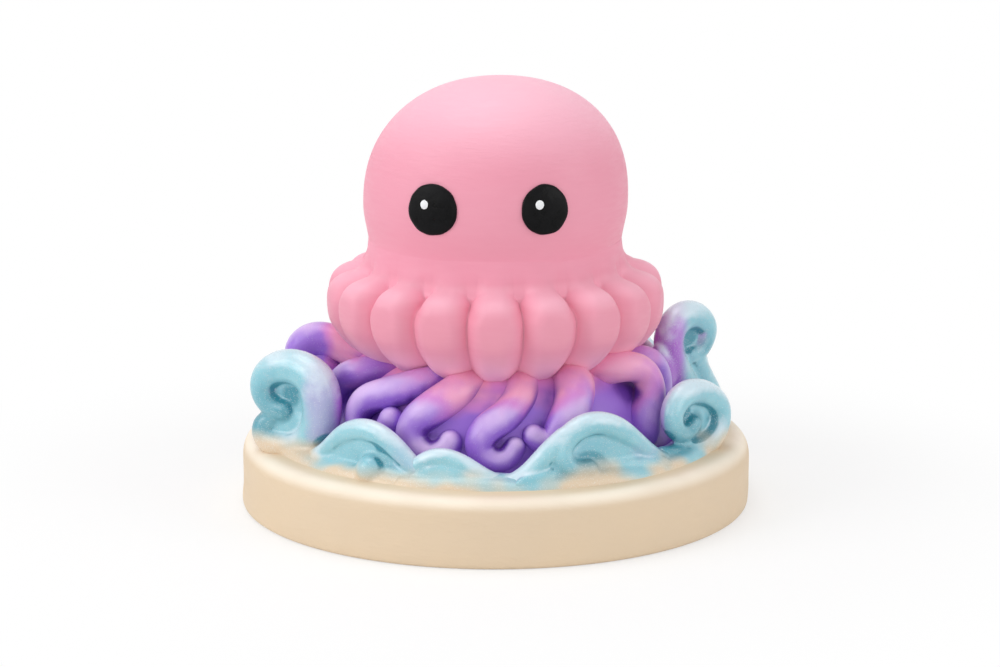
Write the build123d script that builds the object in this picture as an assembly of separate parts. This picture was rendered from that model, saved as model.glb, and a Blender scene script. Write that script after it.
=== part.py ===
"""Octopus figurine: an octopus with curled arms standing in a ring of surf on a round sand plinth.

Millimetres and degrees. +Z is up, the origin is the middle of the underside, and the face
looks along -Y. An azimuth is measured from the front, positive towards +X.
"""

from build123d import *
from collections import namedtuple
import math
import os

# Plinth and the pad under it. What stands on it is sized in modules, hundredths of its diameter.
BASE_DIAMETER = 100.0
MODULE = BASE_DIAMETER / 100
BASE_HEIGHT = 13.0
BASE_TOP_ROUND = 2.8
BASE_FOOT_ROUND = 0.8
PAD_DIAMETER = 90.0 * MODULE
PAD_THICKNESS = 1.5

# Clearance round every spigot, peg, foot and inset that is glued in
GLUE_GAP = 0.1
# Clearance between forms that lie side by side without touching
SIDE_GAP = 0.3
# Spacing of the sections along a curled form, and the ball at its tip as a share of its end
SECTION_STEP = 2.4 * MODULE
TIP_SWELL = 1.12

# Surf: a low ridge in a channel of the plinth, with a curled crest on each stretch of it
SURF_MARGIN = 5.0 * MODULE
SURF_WIDTH = 9.0 * MODULE
SURF_TROUGH = 2.2 * MODULE
CHANNEL_DEPTH = 1.0 * MODULE
ROLL_RADIUS = 3.2 * MODULE
ROLL_TIP_RADIUS = 1.8 * MODULE
ROLL_TAPER = 2.0
CURL_IN = 0.5
SWELL_SHARE = 0.62
SWELL_LIMIT = 5.0 * MODULE

# Body core: a mound with a spigot at each end
CORE_FLANGE = 1.6 * MODULE
CORE_HEIGHT = 14.0 * MODULE
CORE_TOP_DIAMETER = 57.6 * MODULE
BASE_SPIGOT_DIAMETER = 28.0 * MODULE
BASE_SPIGOT_DEPTH = 4.0 * MODULE
HEAD_SPIGOT_DIAMETER = 24.0 * MODULE
HEAD_SPIGOT_DEPTH = 7.0 * MODULE

# Arms: each is pinned to the top of the core under the skirt, and a share slimmer than the
# radii of its line so that no bend folds
ARM_SHARE = 0.9
PIN_RING = 26.0 * MODULE
PIN_DIAMETER = 3.2 * MODULE
PIN_DEPTH = 4.0 * MODULE
PIN_RISE = 0.8 * MODULE

# Skirt of rounded lobes
SKIRT_DIAMETER = 66.6 * MODULE
SKIRT_HEIGHT = 23.0 * MODULE
SKIRT_SEAT_DIAMETER = 46.0 * MODULE
SKIRT_SHOULDER = 0.6
SHOULDER_FULLNESS = 2.4
SKIRT_SECTIONS = 11
LOBE_COUNT = 18
LOBE_GROOVE = 3.2 * MODULE

# Head
NECK_DIAMETER = 48.9 * MODULE
HEAD_DIAMETER = 51.4 * MODULE
HEAD_HEIGHT = 33.4 * MODULE
HEAD_WIDEST = 9.3 * MODULE
HEAD_FULLNESS = 2.25

# Face
FACE_TURN = -3.0
EYE_ANGLE = 24.2
EYE_LEVEL = 12.0 * MODULE
EYE_DIAMETER = 9.7 * MODULE
EYE_DEPTH = 2.0 * MODULE
EYE_BULGE = 0.85 * MODULE
GLINT_DIAMETER = 1.8 * MODULE
GLINT_DEPTH = 0.5 * MODULE
GLINT_OUT = 1.2 * MODULE
GLINT_UP = 0.9 * MODULE

# A wave: crest is its height over the plinth, span half the curl's width, sense the side that
# it curls to, turn how far it rolls up, yaw how far its plane turns off the ring, and reach how
# far it stands out from the ridge. The lengths are in modules.
Wave = namedtuple("Wave", "azimuth crest span sense turn yaw reach")
WAVES = [
    Wave(-68.0, 20.5, 5.5, -1, 275.0, 36.0, 2.0),
    Wave(-37.0, 11.0, 5.5, -1, 200.0, 0.0, 0.0),
    Wave(-12.0, 7.4, 5.0, -1, 0.0, 0.0, 0.0),
    Wave(27.0, 13.4, 7.0, -1, 230.0, 0.0, 0.0),
    Wave(65.0, 15.6, 5.6, -1, 275.0, -16.0, 1.0),
    Wave(104.0, 25.0, 5.3, 1, 275.0, -60.0, 0.5),
    Wave(139.0, 15.0, 5.6, 1, 275.0, 0.0, 0.0),
    Wave(175.0, 18.0, 5.6, -1, 275.0, 0.0, 0.0),
    Wave(-147.0, 14.0, 5.6, -1, 275.0, 0.0, 0.0),
    Wave(-109.0, 13.0, 5.4, -1, 275.0, 0.0, 0.0),
]

# An arm: points at an azimuth, a distance from the axis and a height over the plinth, with the
# radius there, from under the skirt to the tip of its hook. The lengths are in modules.
FRONT_ARMS = [
    [
        (-57, 24, 15.5, 2.6), (-59, 27, 15.8, 2.6), (-62.5, 29.8, 15.4, 2.6),
        (-67.5, 31.4, 13.8, 2.5), (-71.5, 32, 11.2, 2.4), (-72.5, 32.3, 8.4, 2.3),
    ],
    [
        (-28, 24, 15.6, 2.8), (-31, 27, 15.4, 2.8), (-36.5, 29.6, 14.6, 2.8),
        (-43, 31.4, 13.3, 2.8), (-48.9, 32.4, 11.6, 2.7), (-51.4, 33, 8.9, 2.5),
        (-49.6, 33, 6.4, 2.4), (-45.4, 33, 5.3, 2.3), (-41.4, 32.9, 6.5, 2.2),
        (-39.8, 32.8, 8.4, 2),
    ],
    [
        (-12, 24, 15.2, 3.2), (-15, 27, 14.6, 3.2), (-19.3, 29.4, 13.2, 3.2),
        (-24, 31.4, 11.3, 3.1), (-27.4, 32.4, 9.3, 2.9), (-28.2, 33, 7, 2.8),
        (-26, 33.1, 4.8, 2.7), (-21.2, 33.1, 3.6, 2.6), (-16.8, 32.9, 4.6, 2.5),
        (-15, 32.6, 6.2, 2.2),
    ],
    [
        (12, 24, 15.2, 3), (10.2, 27, 14.2, 2.9), (7, 29.4, 12.8, 2.8), (2.6, 31.4, 11, 2.8),
        (-2.4, 32.7, 9.2, 2.7), (-4.9, 33.2, 6.8, 2.6), (-3.8, 33.4, 4.6, 2.4),
        (-0.2, 33.5, 3.3, 2.3), (3.6, 33.4, 3.8, 2.1), (6.2, 33.1, 5.6, 1.9),
    ],
    [
        (35, 24.4, 15.4, 3.3), (33, 27.2, 15, 3.3), (30, 29.6, 13.6, 3.2), (26.6, 31.5, 11.4, 3),
        (22.6, 32.5, 9, 2.7), (19.2, 32.9, 7.1, 2.4), (15.8, 32.9, 6.6, 2.1), (12.6, 32.6, 7.6, 1.9),
    ],
    [
        (54, 24, 15.4, 2.8), (56, 27, 15.8, 2.7), (60, 29.6, 16.4, 2.5),
        (64.6, 31.2, 16.2, 2.4), (68.2, 32.3, 14.6, 2.4), (69, 33, 12, 2.5),
        (66.8, 33.2, 9.7, 2.7), (62, 33.1, 8.2, 3), (56.5, 33, 7.6, 3.1),
    ],
    [
        (74.5, 24, 15.2, 2.7), (76, 27.5, 15.9, 2.7), (78.6, 30.5, 15.8, 2.6),
        (81.2, 32.4, 13.8, 2.6), (82, 33, 10.6, 2.6), (81.2, 33.2, 7.6, 2.5),
        (82.4, 33.4, 5, 2.3), (85, 33.5, 3.4, 2.1), (88.4, 33.4, 2.8, 2),
    ],
]
RAISED_ARM = [
    (-92, 24, 15.2, 2.9), (-93.5, 27, 15.8, 3), (-94.6, 30, 17, 3.1), (-95.2, 33.4, 18, 3.1),
    (-95.6, 36.8, 17.4, 3), (-95.8, 38.6, 15, 2.8), (-95.6, 38.6, 12.2, 2.5),
]
# Arms at the back follow one of the front: azimuth of the hook and the side that it swings to
MODEL_ARM = FRONT_ARMS[3]
BACK_ARMS = [
    (114, 1),
    (135.5, 1),
    (156.5, 1),
    (177.5, 1),
    (-163, -1),
    (-141, -1),
    (-119, -1),
]

# Places that follow from the sizes above
CHANNEL_FLOOR = BASE_HEIGHT - CHANNEL_DEPTH
SURF_RADIUS = BASE_DIAMETER / 2 - SURF_MARGIN - SURF_WIDTH / 2
CORE_RADIUS = SURF_RADIUS - SURF_WIDTH / 2 - SIDE_GAP
SKIRT_SEAT = BASE_HEIGHT + CORE_HEIGHT
NECK_SEAT = SKIRT_SEAT + SKIRT_HEIGHT


def at(azimuth, radius, height):
    """Point at an azimuth, a distance from the axis and a height."""
    angle = math.radians(azimuth)
    return Vector(radius * math.sin(angle), -radius * math.cos(angle), height)


def along(azimuth):
    """Level unit vector along the ring, towards greater azimuths."""
    angle = math.radians(azimuth)
    return Vector(math.cos(angle), math.sin(angle), 0)


def turned(*lines):
    """Solid of revolution of a closed outline in the XZ plane."""
    return revolve(make_face(lines), Axis.Z)


def disc(diameter, bottom, top):
    """Upright cylinder on the axis between two heights."""
    return Pos(0, 0, bottom) * Cylinder(
        diameter / 2, top - bottom, align=(Align.CENTER, Align.CENTER, Align.MIN)
    )


def thickness(points, radii, share):
    """Radius at a share of the way along a line of points."""
    runs = [(b - a).length for a, b in zip(points, points[1:])]
    run = share * sum(runs)
    for k, step in enumerate(runs):
        if run <= step or k == len(runs) - 1:
            return radii[k] + (radii[k + 1] - radii[k]) * min(1.0, run / step)
        run -= step


def tube(points, radii):
    """Solid of round sections along a smooth line through points, with a ball at its tip."""
    path = Spline(*points)
    count = round(path.length / SECTION_STEP)
    side = (path % 0).cross(Vector(0.3, 0.2, 1.0))
    sections = []
    for k in range(count + 1):
        heading = path % (k / count)
        side = (side - heading * side.dot(heading)).normalized()
        plane = Plane(origin=path @ (k / count), x_dir=side, z_dir=heading)
        sections.append(plane * Circle(thickness(points, radii, k / count)))
    return loft(sections) + Pos(path @ 1) * Sphere(radii[-1] * TIP_SWELL)


def largest(shape):
    """Biggest solid of a shape, without the slips that a cut can leave."""
    return shape.solids().sort_by(SortBy.VOLUME)[-1]


def sand_base():
    """Plinth with the channel of the surf, the socket of the core and the recess of the pad."""
    plinth = disc(BASE_DIAMETER, 0, BASE_HEIGHT)
    rims = plinth.edges().filter_by(GeomType.CIRCLE).sort_by(Axis.Z)
    plinth = fillet(rims[-1], BASE_TOP_ROUND)
    rims = plinth.edges().filter_by(GeomType.CIRCLE).sort_by(Axis.Z)
    plinth = fillet(rims[0], BASE_FOOT_ROUND)
    outer = 2 * SURF_RADIUS + SURF_WIDTH + 2 * GLUE_GAP
    inner = 2 * SURF_RADIUS - SURF_WIDTH - 2 * GLUE_GAP
    channel = disc(outer, CHANNEL_FLOOR, BASE_HEIGHT) - disc(inner, CHANNEL_FLOOR, BASE_HEIGHT)
    socket = disc(
        BASE_SPIGOT_DIAMETER + 2 * GLUE_GAP,
        BASE_HEIGHT - BASE_SPIGOT_DEPTH - GLUE_GAP,
        BASE_HEIGHT,
    )
    recess = disc(PAD_DIAMETER + 2 * GLUE_GAP, 0, PAD_THICKNESS)
    return plinth - channel - socket - recess


def felt_pad():
    """Thin pad, flush with the foot of the plinth."""
    return disc(PAD_DIAMETER, 0, PAD_THICKNESS)


def pin(line, gap):
    """Upright pin from the root of an arm into the top of the core."""
    (near, inner), (far, outer) = [point[:2] for point in line[:2]]
    azimuth = near + (far - near) * (PIN_RING / MODULE - inner) / (outer - inner)
    foot = at(azimuth, PIN_RING, SKIRT_SEAT - PIN_DEPTH - gap)
    return Pos(foot) * Cylinder(
        PIN_DIAMETER / 2 + gap,
        PIN_DEPTH + gap + PIN_RISE,
        align=(Align.CENTER, Align.CENTER, Align.MIN),
    )


def core_outline():
    """Mound: an upright foot, a sloping side and the seat of the skirt."""
    top = CORE_TOP_DIAMETER / 2
    foot = BASE_HEIGHT + CORE_FLANGE
    return [
        Line((0, BASE_HEIGHT), (CORE_RADIUS, BASE_HEIGHT)),
        Line((CORE_RADIUS, BASE_HEIGHT), (CORE_RADIUS, foot)),
        Line((CORE_RADIUS, foot), (top, SKIRT_SEAT)),
        Line((top, SKIRT_SEAT), (0, SKIRT_SEAT)),
        Line((0, SKIRT_SEAT), (0, BASE_HEIGHT)),
    ]


def core_mound():
    """Body of the core without its sockets."""
    outline = [Plane.XZ * line for line in core_outline()]
    return turned(*outline)


def body_core():
    """Mound with spigots down into the plinth and up through the skirt into the head."""
    core = core_mound()
    core += disc(BASE_SPIGOT_DIAMETER, BASE_HEIGHT - BASE_SPIGOT_DEPTH, BASE_HEIGHT)
    core += disc(HEAD_SPIGOT_DIAMETER, SKIRT_SEAT, NECK_SEAT + HEAD_SPIGOT_DEPTH)
    for line in arm_lines():
        core -= pin(line, GLUE_GAP)
    return core


def smooth(share):
    """Soft step from 0 to 1."""
    return share**2 * (3 - 2 * share)


def skirt_level(share):
    """Height, radius and groove depth of the skirt at a share of its height from the seat."""
    seat, neck, full = SKIRT_SEAT_DIAMETER / 2, NECK_DIAMETER / 2, SKIRT_DIAMETER / 2
    if share < SKIRT_SHOULDER:
        swell = math.sin(math.pi / 2 * share / SKIRT_SHOULDER)
        radius = seat + (full - seat) * swell
        groove = LOBE_GROOVE * (0.5 + 0.5 * swell)
    else:
        fade = 1 - smooth(((share - SKIRT_SHOULDER) / (1 - SKIRT_SHOULDER)) ** SHOULDER_FULLNESS)
        radius = neck + (full - neck) * fade
        groove = LOBE_GROOVE * max(fade, 0.02)
    return SKIRT_SEAT + share * SKIRT_HEIGHT, radius, groove


def lobed_face(height, radius, groove):
    """Level face bounded by one bulging line for each lobe."""
    pitch = 360 / LOBE_COUNT
    lines = []
    for k in range(LOBE_COUNT):
        shares = (-1, -0.5, 0, 0.5, 1)
        bulge = [at(pitch * (k + s / 2), radius - groove * s**2, height) for s in shares]
        lines.append(Spline(*bulge))
    return make_face(lines)


def skirt_ring():
    """Ring of lobes lofted through level sections and bored for the spigot."""
    shares = [k / SKIRT_SECTIONS for k in range(SKIRT_SECTIONS + 1)]
    ring = loft([lobed_face(*skirt_level(share)) for share in shares], ruled=True)
    return ring - disc(HEAD_SPIGOT_DIAMETER + 2 * GLUE_GAP, SKIRT_SEAT, NECK_SEAT)


def skirt_envelope():
    """Round space that the lower lobes fill, with the side clearance, to cut what lies under them."""
    levels = [skirt_level(SKIRT_SHOULDER * k / 6) for k in range(7)]
    flank = [(radius + SIDE_GAP, height) for height, radius, _ in levels]
    lines = [
        Line((0, SKIRT_SEAT), flank[0]),
        Spline(*flank),
        Line(flank[-1], (0, flank[-1][1])),
        Line((0, flank[-1][1]), (0, SKIRT_SEAT)),
    ]
    return turned(*[Plane.XZ * line for line in lines])


def dome_radius(height):
    """Radius of the head at a height over the neck: a full dome over a drawn-in lower part."""
    widest = HEAD_DIAMETER / 2
    if height >= HEAD_WIDEST:
        rise = min(1.0, (height - HEAD_WIDEST) / (HEAD_HEIGHT - HEAD_WIDEST))
        return widest * (1 - rise**HEAD_FULLNESS) ** (1 / HEAD_FULLNESS)
    blend = (1 - math.cos(math.pi * height / HEAD_WIDEST)) / 2
    return NECK_DIAMETER / 2 + (widest - NECK_DIAMETER / 2) * blend


def head_dome():
    """Head turned from its profile, without its sockets."""
    rises = [0.0, 0.25, 0.5, 0.75, 0.88, 0.96]
    heights = [HEAD_WIDEST * s for s in (0.0, 0.5)]
    heights += [HEAD_WIDEST + (HEAD_HEIGHT - HEAD_WIDEST) * s for s in rises]
    side = [(dome_radius(height), NECK_SEAT + height) for height in heights]
    top = (0, NECK_SEAT + HEAD_HEIGHT)
    profile = Spline(*side, top, tangents=[(0, 1), (-1, 0)])
    lines = [
        Line((0, NECK_SEAT), side[0]),
        profile,
        Line(top, (0, NECK_SEAT)),
    ]
    return turned(*[Plane.XZ * line for line in lines])


def eye_plane(side):
    """Plane on the head's skin at an eye, facing out; side is -1 for left and 1 for right."""
    step = 0.5
    run = dome_radius(EYE_LEVEL - step) - dome_radius(EYE_LEVEL + step)
    azimuth = FACE_TURN + side * EYE_ANGLE
    place = at(azimuth, dome_radius(EYE_LEVEL), NECK_SEAT + EYE_LEVEL)
    out = at(azimuth, 2 * step, run).normalized()
    return Plane(origin=place, x_dir=along(azimuth), z_dir=out)


def inset(diameter, depth, bulge):
    """Round inset along +Z: a straight body below zero and a domed front that crowns above it."""
    half = diameter / 2
    ball = (half**2 + bulge**2) / (2 * bulge)
    body = Cylinder(half, depth + bulge, align=(Align.CENTER, Align.CENTER, Align.MIN))
    return Pos(0, 0, -depth) * body & Pos(0, 0, bulge / 2 - ball) * Sphere(ball)


def inset_hole(diameter, depth):
    """Socket that takes an inset, open to the front."""
    return Pos(0, 0, -depth) * Cylinder(
        diameter / 2 + GLUE_GAP, 2 * depth, align=(Align.CENTER, Align.CENTER, Align.MIN)
    )


def head():
    """Dome with the socket of the spigot and the two eye sockets."""
    dome = head_dome()
    dome -= disc(
        HEAD_SPIGOT_DIAMETER + 2 * GLUE_GAP, NECK_SEAT, NECK_SEAT + HEAD_SPIGOT_DEPTH + GLUE_GAP
    )
    for side in (-1, 1):
        dome -= eye_plane(side) * inset_hole(EYE_DIAMETER, EYE_DEPTH)
    return dome


def glint_plane(side):
    """Plane on the front of an eye where its glint sits: up and towards the left of the face."""
    place = Pos(-GLINT_OUT, GLINT_UP, EYE_BULGE / 2)
    return eye_plane(side) * place


def eye(side):
    """Domed black eye with the socket of its glint."""
    ball = eye_plane(side) * inset(EYE_DIAMETER, EYE_DEPTH, EYE_BULGE)
    return ball - glint_plane(side) * inset_hole(GLINT_DIAMETER, GLINT_DEPTH)


def glint(side):
    """Small domed dot on an eye."""
    return glint_plane(side) * inset(GLINT_DIAMETER, GLINT_DEPTH, GLINT_DEPTH / 2)


def wave_bounds(index):
    """Azimuths of the troughs on either side of a wave."""
    here = WAVES[index].azimuth
    before = WAVES[index - 1].azimuth
    after = WAVES[(index + 1) % len(WAVES)].azimuth
    left = here - ((here - before) % 360) / 2
    right = here + ((after - here) % 360) / 2
    return left, right


def ridge(index):
    """Stretch of the surf ring between two troughs, swelling under its crest."""
    wave = WAVES[index]
    left, right = wave_bounds(index)
    crest = wave.crest * MODULE
    swell = min(crest * SWELL_SHARE, SWELL_LIMIT) if wave.turn else crest
    half = SURF_WIDTH / 2
    sections = []
    for share in (0.0, 0.3, 0.5, 0.7, 1.0):
        azimuth = left + (right - left) * share
        rise = math.sin(math.pi * share) ** 2
        height = CHANNEL_DEPTH + SURF_TROUGH + (swell - SURF_TROUGH) * rise
        outline = [
            EllipticalCenterArc((0, 0), half, height, arc_size=180),
            Line((-half, 0), (half, 0)),
        ]
        foot = at(azimuth, SURF_RADIUS, CHANNEL_FLOOR)
        outward = at(azimuth, 1, 0)
        plane = Plane(origin=foot, x_dir=outward, z_dir=outward.cross(Vector(0, 0, 1)))
        sections.append(plane * make_face(outline))
    return loft(sections)


def curl_path(wave):
    """Points of a crest: up from its foot, over the top and rolled in on itself."""
    low = BASE_HEIGHT + SURF_TROUGH / 2
    top = BASE_HEIGHT + wave.crest * MODULE - ROLL_RADIUS
    span = wave.span * MODULE
    rise = min(span, (top - low) * 0.7)
    middle = top - rise
    centre = at(wave.azimuth, SURF_RADIUS + wave.reach * MODULE, 0)
    across = along(wave.azimuth + wave.yaw) * wave.sense
    stem = centre - across * span
    points = [stem + Vector(0, 0, low), stem + Vector(0, 0, (low + middle) / 2)]
    steps = round(wave.turn / 40)
    for k in range(steps + 1):
        turn = wave.turn * k / steps
        angle = math.radians(turn)
        size = 1 - CURL_IN * (turn / 285) ** 1.5
        run = -span * size * math.cos(angle)
        points.append(centre + across * run + Vector(0, 0, middle + rise * size * math.sin(angle)))
    return points


def wave(index, neighbours):
    """Ridge of one wave with any curl on it, fitted to the plinth and the core."""
    surf = ridge(index)
    if WAVES[index].turn:
        points = curl_path(WAVES[index])
        shares = [k / (len(points) - 1) for k in range(len(points))]
        loss = ROLL_RADIUS - ROLL_TIP_RADIUS
        surf += tube(points, [ROLL_RADIUS - loss * share**ROLL_TAPER for share in shares])
    for neighbour in neighbours:
        surf -= neighbour
    return surf


def arm_lines():
    """Lines of all the arms in the order of their nodes."""
    lines = list(FRONT_ARMS)
    for hook, sense in BACK_ARMS:
        lines.append([(hook - sense * azimuth, *rest) for azimuth, *rest in MODEL_ARM])
    lines.append(RAISED_ARM)
    return lines


def arm(line, core, envelope):
    """Curled arm fitted against the core and under the skirt, with its pin."""
    points = [at(a, r * MODULE, BASE_HEIGHT + up * MODULE) for a, r, up, _ in line]
    curl = tube(points, [point[3] * MODULE * ARM_SHARE for point in line])
    return largest(curl - core - envelope) + pin(line, 0)


def main():
    """Builds every piece and writes it to its own file."""
    os.makedirs("parts", exist_ok=True)
    base = sand_base()
    mound = core_mound()
    envelope = skirt_envelope()
    pieces = {
        "sand_base": base,
        "felt_pad": felt_pad(),
        "body_core": body_core(),
        "skirt_ring": skirt_ring(),
        "head": head(),
    }
    for side, name in ((-1, "left"), (1, "right")):
        pieces[f"eye_{name}"] = eye(side)
        pieces[f"glint_{name}"] = glint(side)
    for index in range(len(WAVES)):
        pieces[f"wave_{index + 1}"] = wave(index, (base, mound))
    for index, line in enumerate(arm_lines()):
        pieces[f"arm_{index + 1:02d}"] = arm(line, mound, envelope)
    for name, piece in pieces.items():
        export_step(piece, f"parts/{name}.step")


if __name__ == "__main__":
    main()
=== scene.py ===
"""Octopus figurine: the painted pieces, their finishes and a plain white studio.

Lengths inside the shape functions are millimetres, as in the part's drawings, and become metres
where a mesh is made. +Z is up and the face looks along -Y. An azimuth is measured from the front
in degrees, positive towards +X.
"""

import math
from collections import namedtuple
from functools import partial

import bpy
import numpy as np
from bpy.props import FloatProperty, FloatVectorProperty, IntProperty, PointerProperty
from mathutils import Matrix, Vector


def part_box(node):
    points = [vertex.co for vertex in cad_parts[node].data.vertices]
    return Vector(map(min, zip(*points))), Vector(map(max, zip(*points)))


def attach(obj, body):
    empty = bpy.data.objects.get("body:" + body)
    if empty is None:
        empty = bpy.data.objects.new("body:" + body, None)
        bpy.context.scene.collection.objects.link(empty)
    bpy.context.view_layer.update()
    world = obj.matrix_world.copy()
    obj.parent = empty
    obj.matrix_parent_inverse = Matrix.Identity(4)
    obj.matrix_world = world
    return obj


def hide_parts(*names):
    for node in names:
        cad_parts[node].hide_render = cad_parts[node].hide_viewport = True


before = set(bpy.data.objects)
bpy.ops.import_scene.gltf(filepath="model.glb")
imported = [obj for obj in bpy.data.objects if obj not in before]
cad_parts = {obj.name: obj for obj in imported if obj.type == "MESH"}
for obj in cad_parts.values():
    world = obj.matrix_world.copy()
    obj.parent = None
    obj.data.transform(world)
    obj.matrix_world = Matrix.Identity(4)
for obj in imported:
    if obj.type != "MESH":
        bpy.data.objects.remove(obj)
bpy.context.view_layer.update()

bl_info = {
    "name": "Octopus figurine",
    "version": (1, 0, 0),
    "blender": (4, 5, 0),
    "location": "3D View > Sidebar > Figurine",
    "description": "Builds the painted octopus figurine round its solids",
    "category": "Add Mesh",
}

MM = 0.001
# Height of the neck over the plinth's top
NECK_RISE = 37.0
BASE_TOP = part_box("head")[0].z / MM - NECK_RISE
NECK_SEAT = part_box("head")[0].z / MM
HEAD_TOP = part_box("head")[1].z / MM
HEAD_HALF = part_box("head")[1].x / MM
BASE_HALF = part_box("sand_base")[1].x / MM
# Points that are compared with others at a time
CHUNK = 2000
# Samples that stand for an arm, the skirt and a wave where surfaces shade each other
ARM_SAMPLES = 300
SKIRT_SAMPLES = 1500
WAVE_SAMPLES = 450
# Seeds of the random draws, by what they vary
SEEDS = {
    "side": 3, "head": 5, "rim": 8, "lobes": 11, "mound": 17, "arms": 23, "eyes": 40, "glints": 50,
}
# Leaves the level part of a direction
LEVEL = np.array([1.0, 1.0, 0.0])


def tint(red, green, blue):
    """Screen colour of 0 to 255 as a linear colour with alpha."""
    share = np.array([red, green, blue]) / 255
    linear = np.where(share <= 0.04045, share / 12.92, ((share + 0.055) / 1.055) ** 2.4)
    return (*[float(c) for c in linear], 1.0)


def colour(name, about, *rgb):
    """Colour property with a screen colour as its default."""
    return FloatVectorProperty(
        name=name, description=about, subtype="COLOR", size=4, min=0, max=1, default=tint(*rgb)
    )


def length(name, about, value):
    """Length property in metres with a default in millimetres."""
    return FloatProperty(name=name, description=about, unit="LENGTH", default=value * MM)


class HeadSettings(bpy.types.PropertyGroup):
    """Dome of the head."""

    lean: length("Lean", "How far the crown stands to the right of the neck", 1.1)
    unevenness: length("Unevenness", "Depth of the hand-shaped waviness", 0.12)
    skin: colour("Skin", "Pink of the head and the lobes", 233, 151, 171)
    # Painted light: the palest pink stands for light thrown up from below onto the lobes' lower
    # ends
    bounce_light: colour("Pale skin", "Palest pink at the lower ends of the lobes", 255, 206, 227)
    # The fair pink is painted highlight on the crown and the lobes' shelf, and a brushed tone
    fair: colour("Fair skin", "Paler pink of the crown", 253, 192, 210)
    # Painted shade: the deeper pink in the grooves and at the neck
    rose_shade: colour("Rose", "Deeper pink in the grooves", 247, 158, 183)


class SkirtSettings(bpy.types.PropertyGroup):
    """Ring of rounded lobes under the head."""

    lobes: IntProperty(name="Lobes", description="Number of lobes", default=18, min=3)
    variety: length("Variety", "How far the lobes differ from each other", 0.3)


class ArmSettings(bpy.types.PropertyGroup):
    """Curled arms and the mound that they leave from."""

    fullness: FloatProperty(name="Fullness", description="Thickness of the arms", default=1.1)
    root: colour("Root", "Pink where an arm leaves the skirt", 245, 170, 203)
    orchid: colour("Orchid", "Colour between the pink and the violet", 212, 136, 212)
    violet: colour("Violet", "Main colour of the arms", 158, 112, 218)
    # Painted highlight: a pearly whitish violet where an arm faces up and out
    lilac_highlight: colour("Lilac", "Pearly bloom on what faces up and out", 218, 188, 240)
    # Painted shade: the dark violet laid where the arms, the skirt and the mound cover each other
    crevice_shade: colour("Crevice", "Dark violet between the arms", 108, 60, 168)
    # Painted shade: the darker violet low on the mound
    hollow_shade: colour("Hollow", "Violet low on the mound", 118, 72, 178)


class SurfSettings(bpy.types.PropertyGroup):
    """Ring of curled waves."""

    voxel: length("Grain", "Cell that the forms of a wave are melted together with", 0.36)
    water: colour("Water", "Turquoise of the waves", 146, 204, 217)
    deeper: colour("Deeper water", "Turquoise of the brushed patches", 108, 183, 200)
    # White pearl on the crests, laid as a painted highlight where they face up
    pearl: colour("Pearl", "White bloom on the crests", 218, 235, 245)
    # Painted shade: the teal laid in the hollows and in the eyes of the curls
    teal: colour("Teal", "Deep colour in the hollows", 36, 136, 156)
    orchid: colour("Orchid", "Violet where a wave leans over the arms", 178, 112, 212)
    lavender: colour("Lavender", "Colour of the side that faces the arms", 180, 168, 216)


class SandSettings(bpy.types.PropertyGroup):
    """Round sand plinth."""

    unevenness: length("Unevenness", "Depth of the hand-shaped waviness", 0.18)
    side: colour("Side", "Sand colour of the side", 225, 203, 174)
    # Painted highlight: the paler sand of the rounded rim
    rim: colour("Rim", "Paler sand of the rim", 250, 238, 220)


class EyeSettings(bpy.types.PropertyGroup):
    """Painted eyes."""

    black: colour("Black", "Paint of the eyes", 12, 12, 13)
    white: colour("White", "Paint of the glints", 236, 238, 240)


class StageSettings(bpy.types.PropertyGroup):
    """Camera, floor and light."""

    lens: FloatProperty(name="Lens", description="Focal length", default=108.864, unit="CAMERA")
    distance: length("Distance", "From the camera to the plinth's foot", 600.0)
    elevation: FloatProperty(
        name="Elevation",
        description="Camera's height angle",
        subtype="ANGLE",
        default=math.radians(15.93),
    )
    power: FloatProperty(name="Power", description="Strength of all the lamps", default=1.0)
    floor: colour("Floor", "Colour of the floor", 250, 250, 250)


def at(azimuth, radius, height):
    """Points at azimuths, distances from the axis and heights."""
    angle = np.radians(azimuth)
    return np.stack(
        np.broadcast_arrays(radius * np.sin(angle), -radius * np.cos(angle), height), axis=-1
    )


def along(azimuth):
    """Level unit vector along the ring, towards greater azimuths."""
    angle = np.radians(azimuth)
    return np.array([np.cos(angle), np.sin(angle), 0.0])


def ease(low, high, value):
    """Soft step from 0 at low to 1 at high."""
    share = np.clip((value - low) / (high - low), 0, 1)
    return share * share * (3 - 2 * share)


def all_round(count, whole=2 * np.pi):
    """Row of angles spread evenly over a whole turn."""
    return np.linspace(0, whole, count, endpoint=False)[None, :]


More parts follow.
